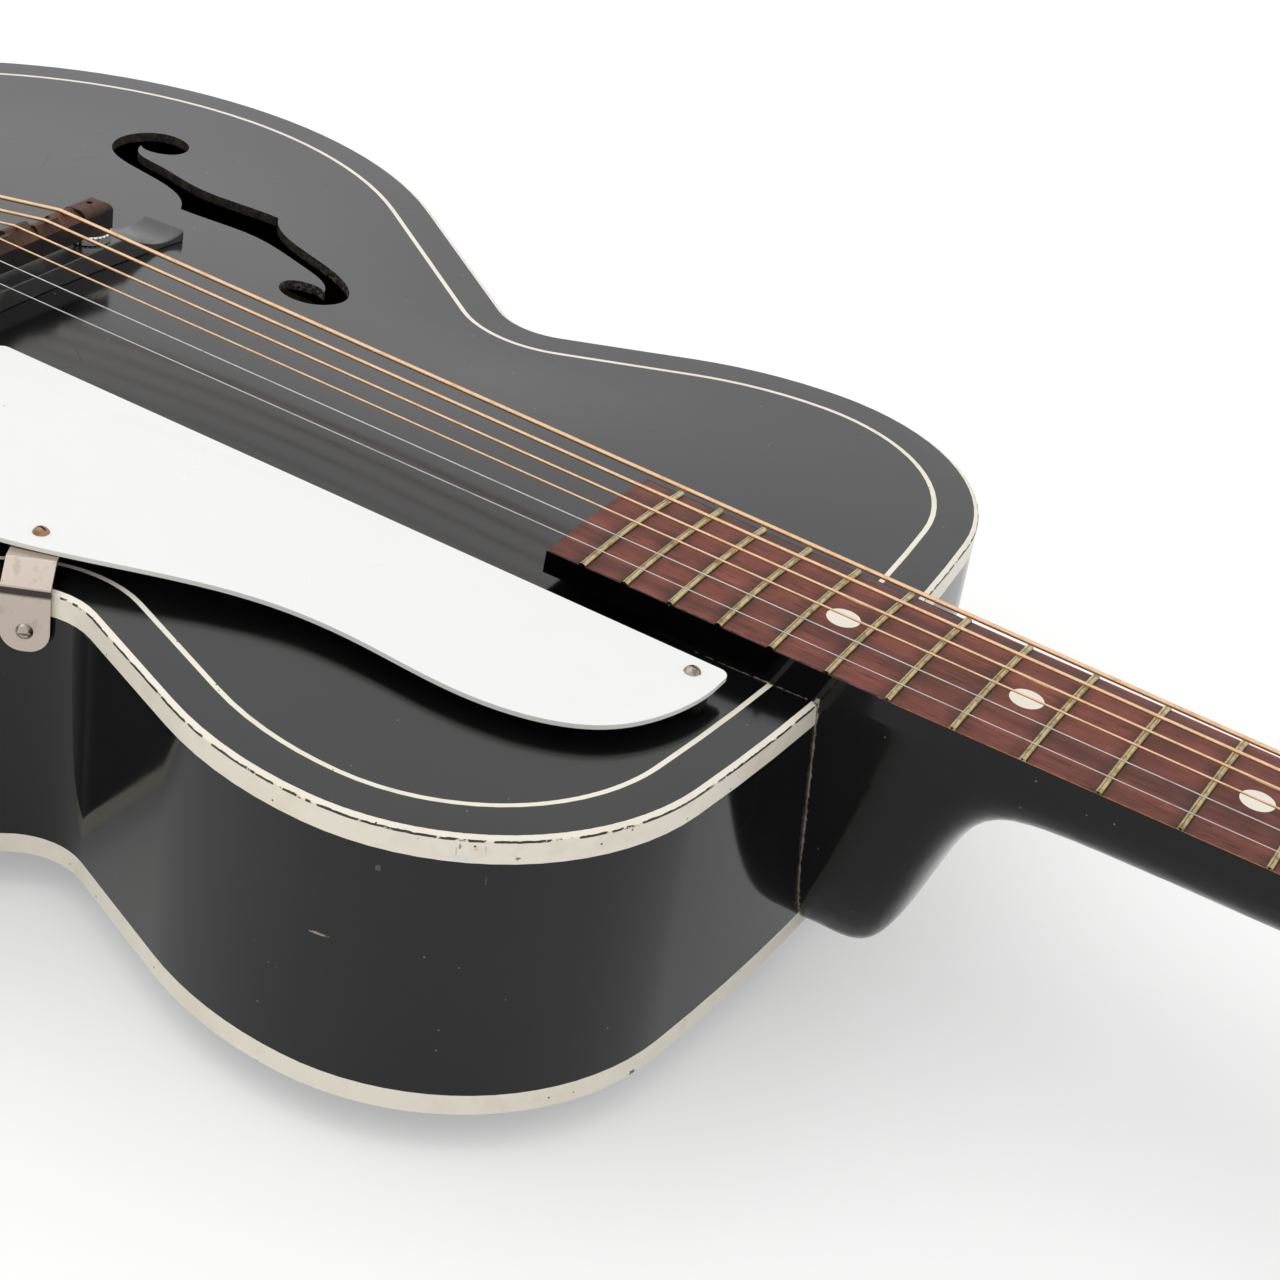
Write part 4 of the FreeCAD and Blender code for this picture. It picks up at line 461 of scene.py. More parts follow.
# stains and nicks in the two bindings
topMarks = (
    {"place": (-0.0321, -0.1265, 0.0892), "size": (0.7, 0.6, 0.4),
     "strength": 0.9, "colour": (0.17, 0.1, 0.035, 1)},
    {"place": (-0.0438, -0.135, 0.0906), "size": (0.22, 0.4, 1.5),
     "strength": 0.4, "colour": (0.3, 0.3, 0.29, 1)},
    {"place": (-0.0432, -0.1346, 0.0921), "size": (0.3, 0.4, 0.9),
     "strength": 0.7, "colour": (0.12, 0.11, 0.1, 1)},
    {"place": (-0.04, -0.1327, 0.0917), "size": (0.5, 0.5, 0.7),
     "strength": 0.35, "colour": (0.42, 0.3, 0.2, 1)},
    {"place": (-0.0382, -0.1313, 0.0916), "size": (0.25, 0.4, 1.0),
     "strength": 0.35, "colour": (0.4, 0.3, 0.22, 1)},
    {"place": (-0.0428, -0.1344, 0.0888), "size": (3.5, 3, 0.8),
     "strength": 0.3, "colour": (0.62, 0.7, 0.74, 1)},
)
backMarks = (
    {"place": (-0.0106, -0.0898, 0.0125), "size": (1.3, 1.3, 0.7),
     "strength": 0.9, "colour": (0.03, 0.028, 0.025, 1)},
)
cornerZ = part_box("top_binding")[1].z - bindingLook["edgeRise"]
creamTop = makeCream("creamTop", bindingLook, cornerZ)
addMarks(creamTop, topMarks)
creamBack = makeCream("creamBack", bindingLook)
addMarks(creamBack, backMarks)
creamLine = makeCream("creamLine", bindingLook)


# rosewood, red-brown with dark streaks and pores
rosewoodLook = {
    "figure": {"scale": 150, "pores": 1400},
    "rubbed": {"scale": 55, "low": 0.42, "high": 0.72},
    "rubbedShare": 0.6,
    "poreShare": 0.7,
    "deepShade": 0.4,
    "roughSpread": 0.15,
    "specular": 0.3,
}


def makeRosewood(name, dark, light, rough):
    look = rosewoodLook
    material, tree, shader = newMaterial(name)
    shader["Specular IOR Level"].default_value = look["specular"]
    figure = useGroup(tree, woodFigure, **look["figure"])
    rubbed = calc(tree, "MULTIPLY", patches(tree, **look["rubbed"]), look["rubbedShare"])
    pores = calc(tree, "MULTIPLY", figure["pore"], look["poreShare"])
    shade = scaledColour(dark, look["deepShade"])
    colour = blendColour(tree, figure["streak"], dark, light)
    colour = blendColour(tree, rubbed, colour, shade)
    colour = blendColour(tree, pores, colour, shade)
    roughness = ramp(tree, figure["streak"], 0, 1, rough, rough + look["roughSpread"])
    tree.links.new(roughness, shader["Roughness"])
    return material, tree, shader, colour


boardLook = {
    "wood": {"dark": (0.085, 0.022, 0.0145, 1), "light": (0.3, 0.083, 0.054, 1), "rough": 0.42},
    "scaleLength": 645 * mm,
    "fretsPerOctave": 12,
    "besideFret": (0.6 * mm, 4.5 * mm, 0.85, 0.0),    # the board is darker beside each fret
    "smear": {"scale": 130, "low": 0.3, "high": 0.7},
    "besideFretColour": (0.022, 0.011, 0.009, 1),
    "rag": {"scale": 330, "detail": 5, "rough": 0.7},
    "paint": (0.38, 0.72, 0.2 * mm, 1.1 * mm),    # black paint that laps over the board's edges
    "paintColour": (0.006, 0.0055, 0.006, 1),
    "bareFrom": 15 * mm,    # toward the head the edge is rubbed to bare orange wood
    "bareShare": 0.45,
    "bareColour": (0.42, 0.16, 0.045, 1),
}


# how far a place lies from the nearest fret
def fretDistance(tree, along, look):
    perOctave = look["fretsPerOctave"]
    toBridge = calc(tree, "ADD", along, look["scaleLength"])
    share = calc(tree, "DIVIDE", toBridge, look["scaleLength"])
    number = calc(tree, "MULTIPLY", calc(tree, "LOGARITHM", share, 2.0), -perOctave)
    off = calc(tree, "SUBTRACT", calc(tree, "FRACT", calc(tree, "ADD", number, 0.5)), 0.5)
    step = calc(tree, "MULTIPLY", toBridge, math.log(2) / perOctave)
    return calc(tree, "MULTIPLY", calc(tree, "ABSOLUTE", off), step)


# the board's sides are painted, with a ragged line along the playing face
def makeBoardWood(look):
    material, tree, shader, colour = makeRosewood("boardRosewood", **look["wood"])
    low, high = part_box("fretboard")
    nutLow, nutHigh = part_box("nut")
    nutHalf = (nutHigh.y - nutLow.y) / 2
    slope = (high.y - nutHalf) / (low.x - nutLow.x)
    place = partsOf(tree, "Object")
    along = calc(tree, "SUBTRACT", place["X"], nutLow.x)
    besideFret = ramp(tree, fretDistance(tree, along, look), *look["besideFret"])
    besideFret = calc(tree, "MULTIPLY", besideFret, patches(tree, **look["smear"]))
    colour = blendColour(tree, besideFret, colour, look["besideFretColour"])
    half = calc(tree, "MULTIPLY_ADD", along, slope, nutHalf)
    inward = calc(tree, "SUBTRACT", half, calc(tree, "ABSOLUTE", place["Y"]))
    reach = ramp(tree, cloudNoise(tree, **look["rag"])["Fac"], *look["paint"])
    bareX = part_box("treble_side")[1].x + look["bareFrom"]
    toHead = calc(tree, "GREATER_THAN", place["X"], bareX)
    lapped = calc(tree, "LESS_THAN", inward, reach)
    paint = calc(tree, "MULTIPLY", lapped, calc(tree, "SUBTRACT", 1.0, toHead))
    colour = blendColour(tree, paint, colour, look["paintColour"])
    rubbed = calc(tree, "LESS_THAN", inward, calc(tree, "MULTIPLY", reach, look["bareShare"]))
    bare = calc(tree, "MULTIPLY", rubbed, toHead)
    tree.links.new(blendColour(tree, bare, colour, look["bareColour"]), shader["Base Color"])
    return material


# the saddle is lighter where it looks up and in rubbed patches, and darker elsewhere
saddleLook = {
    "wood": {"dark": (0.03, 0.013, 0.007, 1), "light": (0.15, 0.068, 0.036, 1), "rough": 0.5},
    "stain": (0.014, 0.0105, 0.009, 1),
    "upward": (0.25, 0.7),
    "rubbed": {"scale": 110, "low": 0.5, "high": 0.72},
    "rubbedShare": 0.5,
}


def makeSaddleWood(look):
    material, tree, shader, colour = makeRosewood("saddleRosewood", **look["wood"])
    # lighter where the faces look up
    upward = ramp(tree, partsOf(tree, "Normal")["Z"], *look["upward"])
    rubbed = calc(tree, "MULTIPLY", patches(tree, **look["rubbed"]), look["rubbedShare"])
    bare = calc(tree, "MAXIMUM", upward, rubbed)
    tree.links.new(blendColour(tree, bare, look["stain"], colour), shader["Base Color"])
    return material


boardRosewood = makeBoardWood(boardLook)
saddleRosewood = makeSaddleWood(saddleLook)


# painted bridge base and end pin, satin where the paint is thin
baseLook = {
    "worn": {"scale": 120, "low": 0.52, "high": 0.75},
    "specks": {"scale": 700, "size": 0.14, "share": 0.08},
    "paint": (0.02, 0.0195, 0.0195, 1),
    "thin": (0.07, 0.067, 0.064, 1),
    "speckColour": (0.12, 0.11, 0.095, 1),
    "rough": (0.28, 0.5),
}


def makeBlackBase(look):
    material, tree, shader = newMaterial("paintedBase", IOR=1.8)
    worn = patches(tree, **look["worn"])
    spots = specks(tree, **look["specks"])
    colour = blendColour(tree, worn, look["paint"], look["thin"])
    tree.links.new(blendColour(tree, spots, colour, look["speckColour"]), shader["Base Color"])
    tree.links.new(ramp(tree, worn, 0, 1, *look["rough"]), shader["Roughness"])
    return material


paintedBase = makeBlackBase(baseLook)


# metals with tarnish in patches, fewer where clear is higher
metalLook = {
    "patchScale": 260,
    "patchSoft": 0.2,
    "pits": {"scale": 1500, "size": 0.2, "share": 0.1},
    "pitShade": 0.45,
    "roughSpread": 0.22,
}


def makeMetal(name, bright, tarnish, rough, clear):
    look = metalLook
    material, tree, shader = newMaterial(name, Metallic=1.0)
    dull = patches(tree, look["patchScale"], clear, clear + look["patchSoft"])
    pits = specks(tree, **look["pits"])
    colour = blendColour(tree, dull, bright, tarnish)
    dark = scaledColour(tarnish, look["pitShade"])
    tree.links.new(blendColour(tree, pits, colour, dark), shader["Base Color"])
    roughness = ramp(tree, dull, 0, 1, rough, rough + look["roughSpread"])
    tree.links.new(roughness, shader["Roughness"])
    return material


agedBrass = makeMetal("agedBrass", (0.58, 0.485, 0.265, 1), (0.29, 0.22, 0.1, 1),
                      rough=0.22, clear=0.48)
nickel = makeMetal("nickel", (0.64, 0.59, 0.54, 1), (0.5, 0.45, 0.4, 1),
                   rough=0.2, clear=0.56)
# a darker nickel for the guard's screws: painted shade, for the dark surroundings that their domed
# heads reflect
shadedScrewNickel = makeMetal("shadedScrewNickel", (0.42, 0.38, 0.32, 1), (0.14, 0.11, 0.08, 1),
                       rough=0.14, clear=0.5)
copperScrew = makeMetal("copperScrew", (0.34, 0.21, 0.13, 1), (0.13, 0.075, 0.04, 1),
                        rough=0.2, clear=0.45)
bracketNickel = makeMetal("bracketNickel", (0.5, 0.425, 0.375, 1), (0.42, 0.35, 0.305, 1),
                          rough=0.24, clear=0.56)
brightWheel = makeMetal("brightWheel", (0.86, 0.86, 0.84, 1), (0.62, 0.6, 0.55, 1),
                        rough=0.12, clear=0.55)
plainSteel = makeMetal("plainSteel", (0.5, 0.49, 0.48, 1), (0.36, 0.35, 0.34, 1),
                       rough=0.25, clear=0.5)


# painted shade: a dark seam is painted along the folded fret strip's crown, for the shade in its
# fold, and its steep sides at the foot are darkened by dirt and painted shade
fretShadeLook = {
    "seamShade": (0.06, 0.2, 0.8, 0.0),
    "foot": (0.7, 0.97, 0.0, 0.85),
    "worn": {"scale": 90, "low": 0.2, "high": 0.5},
    "dark": (0.07, 0.05, 0.02, 1),
}


def shadeFretSeams(material, look):
    tree, shader, metal = openMaterial(material)
    tilt = calc(tree, "ABSOLUTE", partsOf(tree, "Normal")["X"])
    seamShade = calc(tree, "MULTIPLY", ramp(tree, tilt, *look["seamShade"]), patches(tree, **look["worn"]))
    # painted shade in the seam; dirt and painted shade on the steep sides
    dark = calc(tree, "MAXIMUM", seamShade, ramp(tree, tilt, *look["foot"]))
    tree.links.new(blendColour(tree, dark, metal, look["dark"]), shader["Base Color"])


shadeFretSeams(agedBrass, fretShadeLook)


# painted reflection: a dark band is painted under the bracket's bend, for the dark top mirrored in
# the curved metal
bendReflectionLook = {
    "top": 0.8 * mm,    # over the rim, where the strip is bent
    "soft": 0.25 * mm,
    "deep": 2.7 * mm,
    "fade": 0.8 * mm,
    "strength": 0.92,
    "dark": (0.02, 0.017, 0.015, 1),
}


def paintBendReflection(material, look):
    tree, shader, metal = openMaterial(material)
    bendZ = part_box("top_binding")[1].z + look["top"]
    fadeZ = bendZ - look["deep"]
    height = partsOf(tree, "Object")["Z"]
    # painted reflection, darkest just under the bend and fading out lower down
    under = ramp(tree, height, bendZ - look["soft"], bendZ, look["strength"], 0.0)
    fade = ramp(tree, height, fadeZ, fadeZ + look["fade"])
    dark = calc(tree, "MULTIPLY", under, fade)
    tree.links.new(blendColour(tree, dark, metal, look["dark"]), shader["Base Color"])


paintBendReflection(bracketNickel, bendReflectionLook)


# wound string: bronze with a fine thread along its length
bronzeLook = {
    "dull": {"scale": 300, "low": 0.45, "high": 0.7},
    "bright": (0.95, 0.68, 0.44, 1),
    "tarnish": (0.80, 0.5, 0.28, 1),
    "groove": (0.56, 0.32, 0.16, 1),
    "grooveEdge": (0.1, 0.6),
    "rough": (0.3, 0.45),
}


def makeBronze(look):
    material, tree, shader = newMaterial("woundBronze", Metallic=1.0)
    dull = patches(tree, **look["dull"])
    wave = {"Vector": objectPlace(tree), "Scale": 900, "Distortion": 0.2}
    thread = put(tree, "TexWave", wave).outputs["Fac"]
    colour = blendColour(tree, dull, look["bright"], look["tarnish"])
    ridge = ramp(tree, thread, *look["grooveEdge"])
    tree.links.new(blendColour(tree, ridge, look["groove"], colour), shader["Base Color"])
    tree.links.new(ramp(tree, dull, 0, 1, *look["rough"]), shader["Roughness"])
    bump = put(tree, "Bump", {"Height": thread, "Strength": 0.4, "Distance": 0.0001})
    tree.links.new(bump.outputs[0], shader["Normal"])
    return material


woundBronze = makeBronze(bronzeLook)


# plain plastics and bone: pickguard, dots, nut, buttons
paleLook = {
    "cloud": {"scale": 60, "low": 0.42, "high": 0.8},
    "marks": {"scale": 260, "size": 0.1},
    "hairs": {"scale": 60, "width": 0.003, "share": 0.6},
    "markShare": 0.5,
    "markColour": (0.36, 0.34, 0.3, 1),
    "hairRough": 0.2,
}


def makePale(name, colour, shade, rough, marks):
    look = paleLook
    material, tree, shader = newMaterial(name, IOR=1.5)
    cloud = patches(tree, **look["cloud"])
    spots = calc(tree, "MULTIPLY", specks(tree, **look["marks"], share=marks), look["markShare"])
    hairs = scratches(tree, **look["hairs"])
    made = blendColour(tree, cloud, colour, shade)
    tree.links.new(blendColour(tree, spots, made, look["markColour"]), shader["Base Color"])
    scored = calc(tree, "MULTIPLY_ADD", hairs, look["hairRough"], rough)
    tree.links.new(scored, shader["Roughness"])
    return material


guardFace = makePale("guardFace", (0.88, 0.885, 0.865, 1), (0.868, 0.872, 0.852, 1),
                     rough=0.16, marks=0.02)
guardEdge = makePale("guardEdge", (0.86, 0.86, 0.79, 1), (0.78, 0.78, 0.71, 1),
                     rough=0.4, marks=0.05)
dotShell = makePale("dotShell", (0.90, 0.86, 0.76, 1), (0.84, 0.79, 0.67, 1),
                    rough=0.3, marks=0.06)
boneNut = makePale("boneNut", (0.80, 0.75, 0.62, 1), (0.72, 0.66, 0.52, 1),
                   rough=0.35, marks=0.05)
creamButton = makePale("creamButton", (0.80, 0.73, 0.57, 1), (0.73, 0.64, 0.47, 1),
                       rough=0.25, marks=0.04)
print("materials made:", len(bpy.data.materials))


# a merged copy of CAD nodes takes their place, smooth and with its own finish
meshLook = {
    "mergeGap": 0.002 * mm,
    "flatDegrees": 0.4,
    "edgeDegrees": 35,
    "edgeSegments": 2,
    "facetWeight": 100,
    "skinRise": 0.5,    # least rise or fall of the normals on a plate's skin
}


def selectOnly(*pieces):
    bpy.ops.object.select_all(action="DESELECT")
    for piece in pieces:
        piece.select_set(True)
    bpy.context.view_layer.objects.active = pieces[0]


def mergedCopy(name, nodeNames):
    copies = []
    for nodeName in nodeNames:
        copy = bpy.data.objects.new(name, nodes[nodeName].data.copy())
        bpy.context.scene.collection.objects.link(copy)
        copies.append(copy)
    selectOnly(*copies)
    if len(copies) > 1:
        bpy.ops.object.join()
    piece = copies[0]
    piece.data.materials.clear()
    bpy.ops.mesh.customdata_custom_splitnormals_clear()
    bpy.ops.object.mode_set(mode="EDIT")
    bpy.ops.mesh.select_all(action="SELECT")
    bpy.ops.mesh.remove_doubles(threshold=meshLook["mergeGap"])
    bpy.ops.object.mode_set(mode="OBJECT")
    return piece


def roundEdges(piece, width):
    selectOnly(piece)
    bpy.ops.object.mode_set(mode="EDIT")
    bpy.ops.mesh.select_all(action="SELECT")
    bpy.ops.mesh.dissolve_limited(angle_limit=math.radians(meshLook["flatDegrees"]))
    bpy.ops.object.mode_set(mode="OBJECT")
    soft = piece.modifiers.new("softEdge", "BEVEL")
    soft.width = width
    soft.segments = meshLook["edgeSegments"]
    soft.limit_method = "ANGLE"
    soft.angle_limit = math.radians(meshLook["edgeDegrees"])
    bpy.ops.object.modifier_apply(modifier=soft.name)


# large facets rule the shading, so that slivers beside them leave no marks
def smoothFaces(piece, angle):
    selectOnly(piece)
    bpy.ops.object.shade_smooth_by_angle(angle=math.radians(angle))
    weighted = piece.modifiers.new("largeFacets", "WEIGHTED_NORMAL")
    weighted.keep_sharp = True
    weighted.weight = meshLook["facetWeight"]
    bpy.ops.object.modifier_apply(modifier=weighted.name)


# arched plates take their shading from an even sheet draped over them
sheetLook = {
    "columns": 150,
    "rows": 90,
    "margin": 1.05,
    "fillRounds": 300,
    "calmRounds": 10,
    "drop": 20 * mm,
    "missGap": 0.001 * mm,
}


def layGrid(low, high, startZ):
    bpy.ops.object.select_all(action="DESELECT")
    bpy.ops.mesh.primitive_grid_add(x_subdivisions=sheetLook["columns"],
                                    y_subdivisions=sheetLook["rows"], size=1)
    bpy.ops.object.mode_set(mode="EDIT")
    reach = (high - low) * sheetLook["margin"]
    middle = (low + high) / 2
    bpy.ops.transform.resize(value=(reach.x, reach.y, 1))
    bpy.ops.transform.translate(value=(middle.x, middle.y, startZ))
    bpy.ops.object.mode_set(mode="OBJECT")
    return bpy.context.active_object


def drapeSheet(cover, up, edgeZ):
    low, high = Vector(cover.bound_box[0]), Vector(cover.bound_box[6])    # opposite corners
    startZ = high.z + sheetLook["drop"] if up else low.z - sheetLook["drop"]
    sheet = layGrid(low, high, startZ)
    if not up:
        bpy.ops.object.mode_set(mode="EDIT")
        bpy.ops.mesh.flip_normals()
        bpy.ops.object.mode_set(mode="OBJECT")
    drape = sheet.modifiers.new("drape", "SHRINKWRAP")
    drape.wrap_method = "PROJECT"
    drape.use_project_z = True
    drape.use_positive_direction = not up
    drape.use_negative_direction = up
    drape.target = cover
    bpy.ops.object.modifier_apply(modifier=drape.name)
    # the sheet spans the holes and goes on past the edge
    missed = [vertex.index for vertex in sheet.data.vertices
              if abs(vertex.co.z - startZ) < sheetLook["missGap"]]
    for index in missed:
        sheet.data.vertices[index].co.z = edgeZ
    sheet.vertex_groups.new(name="open").add(missed, 1, "ADD")
    for group, rounds in (("open", sheetLook["fillRounds"]), ("", sheetLook["calmRounds"])):
        calm = sheet.modifiers.new("calm", "SMOOTH")
        calm.vertex_group = group
        calm.iterations = rounds
        calm.use_x = False
        calm.use_y = False
        bpy.ops.object.modifier_apply(modifier=calm.name)
    bpy.ops.object.shade_smooth()
    return sheet


def evenShading(piece, coverNodes, up, edgeZ):
    cover = mergedCopy("cover", coverNodes)
    sheet = drapeSheet(cover, up, edgeZ)
    selectOnly(piece)
    even = piece.modifiers.new("even", "DATA_TRANSFER")
    even.object = sheet
    even.use_loop_data = True
    even.data_types_loops = {"CUSTOM_NORMAL"}
    even.loop_mapping = "POLYINTERP_NEAREST"
    bpy.ops.object.modifier_apply(modifier=even.name)
    bpy.data.objects.remove(sheet)
    bpy.data.objects.remove(cover)


def takeSkin(piece, name, chosen, material):
    selectOnly(piece)
    bpy.ops.object.mode_set(mode="EDIT")
    bpy.ops.mesh.select_mode(type="FACE")
    bpy.ops.mesh.select_all(action="DESELECT")
    bpy.ops.object.mode_set(mode="OBJECT")
    for face in piece.data.polygons:
        face.select = chosen(face.normal)
    bpy.ops.object.mode_set(mode="EDIT")
    bpy.ops.mesh.separate(type="SELECTED")
    bpy.ops.object.mode_set(mode="OBJECT")
    skin = [made for made in bpy.context.selected_objects if made is not piece][0]
    skin.name = name
    skin.data.materials.clear()
    skin.data.materials.append(material)
    return skin


def dress(name, nodeNames, slotName, body, *materials, edge=0.0, smooth=32):
    piece = mergedCopy(name, nodeNames)
    if edge:
        roundEdges(piece, edge)
    smoothFaces(piece, smooth)
    for material in materials:
        piece.data.materials.append(material)
    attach(piece, body)
    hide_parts(*nodeNames)
    return piece


# the chosen faces take the piece's second finish
def repaintFaces(piece, chosen):
    for face in piece.data.polygons:
        if chosen(face.center, face.normal):
            face.material_index = 1


def looksUp(normal):
    return normal.z > meshLook["skinRise"]


def looksDown(normal):
    return normal.z < -meshLook["skinRise"]


def middleOf(nodeName):
    low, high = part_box(nodeName)
    return (low + high) / 2


# body
topInside = dress("topInside", ["top_plate"], "spruce_inside", "guitar", holeEdge, bareSpruce)
topSkin = takeSkin(topInside, "topSkin", looksUp, topLacquer)
repaintFaces(topInside, lambda spot, normal: looksDown(normal))
backInside = dress("backInside", ["back_plate"], "spruce_inside", "guitar", bareSpruce)
backSkin = takeSkin(backInside, "backSkin", looksDown, sideLacquer)
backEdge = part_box("back_binding")[0].z
skins = (
    (topSkin, ["top_plate", "top_purfling", "top_binding"], True, cornerZ),
    (backSkin, ["back_plate", "back_binding"], False, backEdge),
)
for skin, coverNodes, up, edgeZ in skins:
    evenShading(skin, coverNodes, up, edgeZ)
    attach(skin, "guitar")
    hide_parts(coverNodes[0])
dress("sides", ["bass_side", "treble_side"], "black_lacquer", "guitar", sideLacquer, smooth=40)
topBinding = dress("topBinding", ["top_binding"], "cream_binding", "guitar", creamTop, sideLacquer)
bodyMid = middleOf("top_binding")


# the binding's inner wall, toward the middle of the body
def isInnerWall(spot, normal):
    upright = not looksUp(normal) and not looksDown(normal)
    return upright and normal.xy.dot((spot - bodyMid).xy) < 0


repaintFaces(topBinding, isInnerWall)
dress("backBinding", ["back_binding"], "cream_binding", "guitar", creamBack)
dress("topPurfling", ["top_purfling"], "cream_binding", "guitar", creamLine)
dress("insideWood", ["neck_block", "tail_block", "top_lining", "back_lining", "tone_bars"],
      "spruce_inside", "guitar", bareSpruce)
print("body dressed")

# neck
neckLook = {
    "smooth": 38,
    "sideTilt": 0.7,    # the board's painted sides
}
dress("neckWood", ["neck"], "black_lacquer", "guitar", neckLacquer, smooth=neckLook["smooth"])
dress("headVeneer", ["head_veneer"], "black_lacquer", "guitar", topLacquer)
board = dress("boardWood", ["fretboard"], "rosewood", "guitar", boardRosewood, neckLacquer)
repaintFaces(board, lambda spot, normal: abs(normal.y) > neckLook["sideTilt"])
dress("fretStrips", ["frets"], "brass", "guitar", agedBrass)
dress("dots", ["position_markers"], "pearloid", "guitar", dotShell)
dress("stringNut", ["nut"], "bone", "guitar", boneNut)
print("neck dressed")

# pickguard and its fixings
guardLook = {
    "edge": 0.25 * mm,
    "edgeTilt": 0.6,    # the guard's sawn edge
    "bracketEdge": 0.2 * mm,
    "copperTo": 30 * mm,    # ahead of the guard's middle, screws behind this are copper
}
guard = dress("guardPlate", ["pickguard"], "white_guard", "guitar", guardFace, guardEdge,
              edge=guardLook["edge"])
repaintFaces(guard, lambda spot, normal: abs(normal.z) < guardLook["edgeTilt"])
dress("guardBracket", ["pickguard_bracket"], "nickel", "guitar", bracketNickel,
      edge=guardLook["bracketEdge"])
guardScrews = dress("guardScrews", ["pickguard_screws"], "nickel", "guitar", shadedScrewNickel, copperScrew)
copperX = middleOf("pickguard").x + guardLook["copperTo"]
repaintFaces(guardScrews, lambda spot, normal: spot.x < copperX and spot.z > cornerZ)
# the spacer takes the black paint, so that it is as dark as the shade under the guard: painted shade
dress("guardSpacer", ["pickguard_spacer"], "black_base", "guitar", paintedBase)
print("pickguard dressed")

# bridge
dress("bridgeBase", ["bridge_base"], "black_base", "guitar", paintedBase, edge=0.5 * mm)
dress("bridgePosts", ["bridge_posts"], "nickel", "guitar", nickel)
dress("wheelBass", ["thumbwheel_bass"], "nickel", "wheel_bass", brightWheel)
dress("wheelTreble", ["thumbwheel_treble"], "nickel", "wheel_treble", brightWheel)
dress("bridgeSaddle", ["bridge_saddle"], "rosewood", "saddle", saddleRosewood)
print("bridge dressed")

# tail
dress("tailTrapeze", ["tailpiece"], "nickel", "tailpiece", nickel)
dress("tailHinge", ["tailpiece_hinge"], "nickel", "guitar", nickel, edge=0.2 * mm)
dress("tailScrews", ["tailpiece_screws"], "nickel", "guitar", nickel)
dress("endPin", ["end_pin"], "black_base", "guitar", paintedBase)

# tuners
dress("tunerPlates", ["tuner_plate_bass", "tuner_plate_treble"], "nickel", "guitar", nickel)
dress("tunerFixings", ["post_ferrules", "tuner_plate_screws"], "nickel", "guitar", nickel)
tunerPieces = (
    ("wormShaft%d", "worm_shaft_%d", "nickel", "key_%d", nickel),
    ("tunerButton%d", "tuner_button_%d", "cream_button", "key_%d", creamButton),
    ("stringPost%d", "string_post_%d", "nickel", "post_%d", nickel),
)
for number in range(1, 7):
    for name, nodeName, slotName, body, material in tunerPieces:
        dress(name % number, [nodeName % number], slotName, body % number, material)
print("tail and tuners dressed")

# strings, cut in three lengths: ahead of the saddle, just behind it, and on to the tailpiece
stringLook = {
    "splitBehind": 0.03,    # still place behind the saddle
    "bendRoom": 0.006,
    "smooth": 50,
}
saddleMid = middleOf("bridge_saddle")


def stringLength(name, nodeNames, material, fromX, toX):
    piece = mergedCopy(name, nodeNames)
    for cutX, outward in ((fromX, 1), (toX, -1)):
        if cutX is None:
            continue
        bpy.ops.object.mode_set(mode="EDIT")
        bpy.ops.mesh.select_all(action="SELECT")
        bpy.ops.mesh.bisect(plane_co=(cutX, 0, 0), plane_no=(outward, 0, 0),
                            use_fill=True, clear_inner=True)
        bpy.ops.object.mode_set(mode="OBJECT")
    selectOnly(piece)
    bpy.ops.object.shade_smooth_by_angle(angle=math.radians(stringLook["smooth"]))
    piece.data.materials.append(material)
    return piece


splitX = saddleMid.x - stringLook["splitBehind"]
stringSets = (
    ("woundStrings", ["string_3", "string_4", "string_5", "string_6"], "bronze_string", woundBronze),
    ("plainStrings", ["string_1", "string_2"], "steel_string", plainSteel),
)
for setName, nodeNames, slotName, material in stringSets:
    front = stringLength(setName + "Front", nodeNames, material, saddleMid.x, None)
    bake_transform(front)
    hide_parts(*nodeNames)
    behind = stringLength(setName + "Behind", nodeNames, material, splitX, saddleMid.x)
    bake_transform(behind)
    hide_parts(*nodeNames)
    tail = stringLength(setName + "Tail", nodeNames, material, None, splitX)
    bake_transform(tail)
    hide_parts(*nodeNames)
print("strings strung")


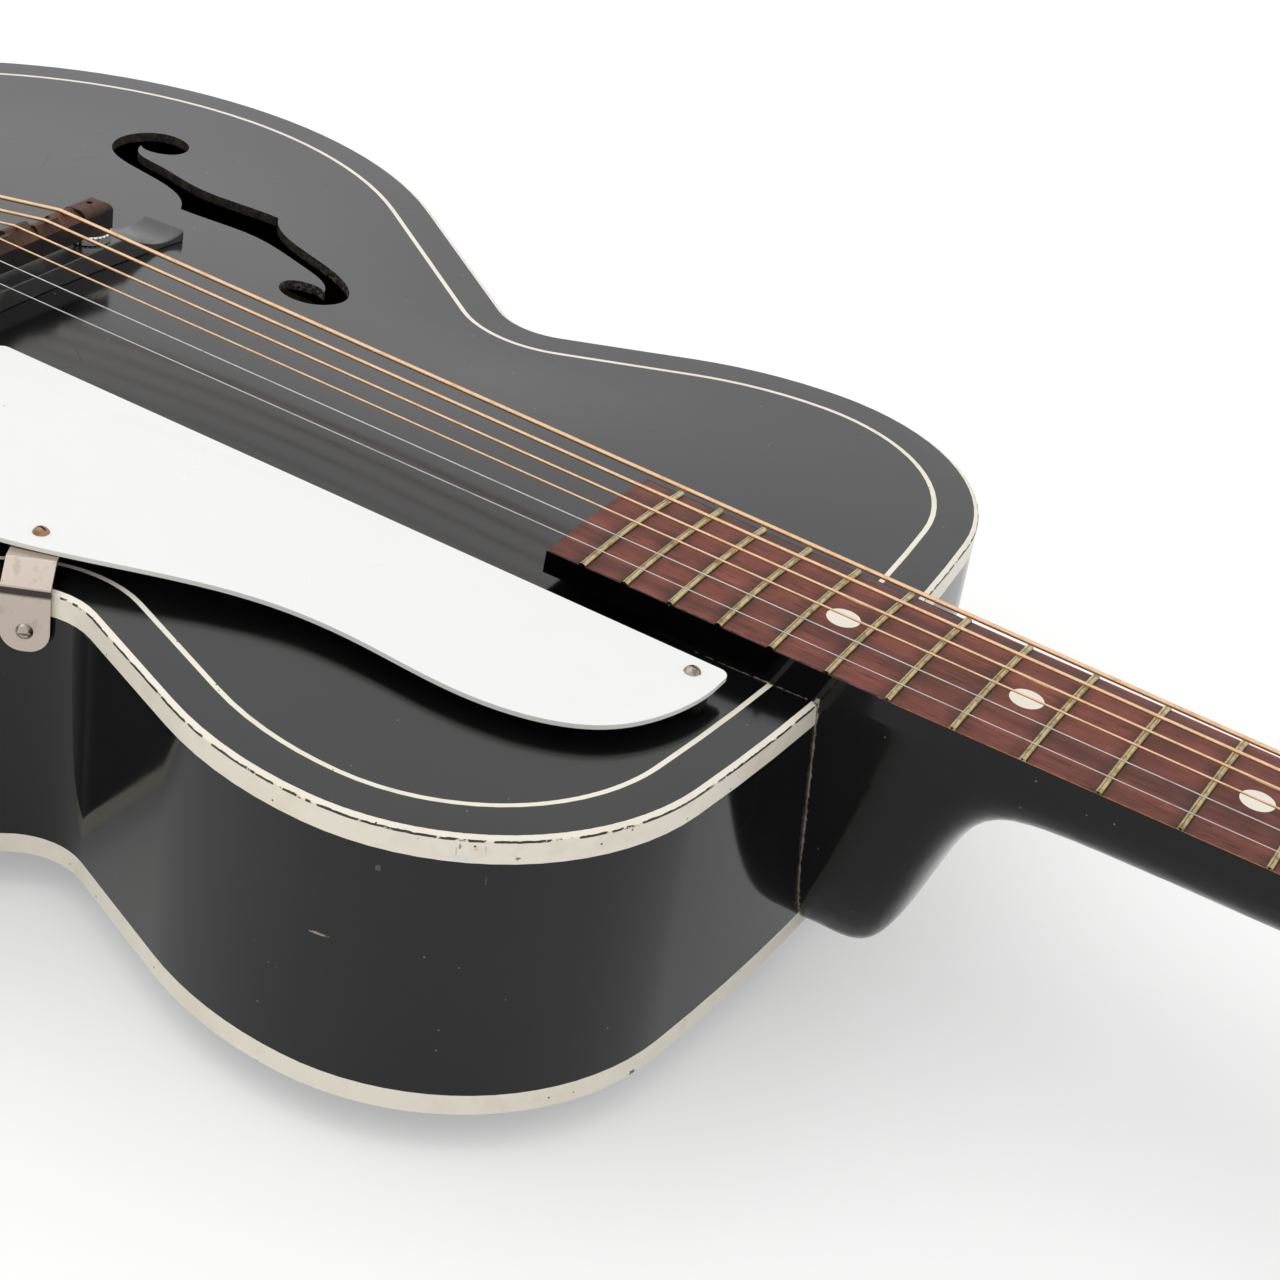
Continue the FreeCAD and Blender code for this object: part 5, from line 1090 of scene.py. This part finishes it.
# floor, light and white surroundings
studio = {
    "floorSize": 14,
    "floorColour": (0.72, 0.72, 0.716, 1),
    "floorMottle": {"scale": 2, "low": 0.3, "high": 0.9},
    "mottleShade": 0.995,
    "floorLift": 0.33,    # lifts the open floor to white for the camera and in reflections
    "white": (1, 1, 1, 1),
    "skyStrength": 0.92,
    "lampPlace": (-0.9, -0.3, 1.5),
    "lampAim": (-0.05, 0.0, 0.1),
    "lampSize": 1.6,
    "lampWatts": 5,
}


# over 0 where the camera sees the background, straight or in a reflection
def seenAsBackground(tree):
    ray = put(tree, "LightPath").outputs
    shown = calc(tree, "ADD", ray["Is Camera Ray"], ray["Is Glossy Ray"])
    return calc(tree, "ADD", shown, ray["Is Transmission Ray"])


def addFloor(look):
    bpy.ops.object.select_all(action="DESELECT")
    bpy.ops.mesh.primitive_plane_add(size=look["floorSize"], location=(0, 0, 0))
    floor = bpy.context.active_object
    floor.name = "floor"
    material, tree, shader = newMaterial("paleFloor", Roughness=0.9)
    shader["Specular IOR Level"].default_value = 0
    paler = scaledColour(look["floorColour"], look["mottleShade"])
    colour = blendColour(tree, patches(tree, **look["floorMottle"]), look["floorColour"], paler)
    tree.links.new(colour, shader["Base Color"])
    lift = ramp(tree, seenAsBackground(tree), 0, 1, 0, look["floorLift"])
    glow = put(tree, "Emission", {"Color": look["white"], "Strength": lift})
    plain = tree.nodes["Principled BSDF"].outputs[0]
    lifted = put(tree, "AddShader", {0: plain, 1: glow.outputs[0]})
    tree.links.new(lifted.outputs[0], tree.nodes["Material Output"].inputs["Surface"])
    floor.data.materials.append(material)
    return floor


def addLamp(look):
    data = bpy.data.lights.new("softLamp", "AREA")
    data.size = look["lampSize"]
    data.energy = look["lampWatts"]
    lamp = bpy.data.objects.new("softLamp", data)
    bpy.context.scene.collection.objects.link(lamp)
    aim = Vector(look["lampAim"]) - Vector(look["lampPlace"])
    turn = aim.to_track_quat("-Z", "Y").to_matrix().to_4x4()
    lamp.matrix_world = Matrix.Translation(look["lampPlace"]) @ turn
    return lamp


def addSky(look):
    world = bpy.data.worlds.new("studio")
    bpy.context.scene.world = world
    world.use_nodes = True
    tree = world.node_tree
    sky = tree.nodes["Background"].inputs
    sky["Color"].default_value = look["white"]
    strength = ramp(tree, seenAsBackground(tree), 0, 1, look["skyStrength"], 1)
    tree.links.new(strength, sky["Strength"])


floor = addFloor(studio)
lamp = addLamp(studio)
addSky(studio)
print("studio lit")
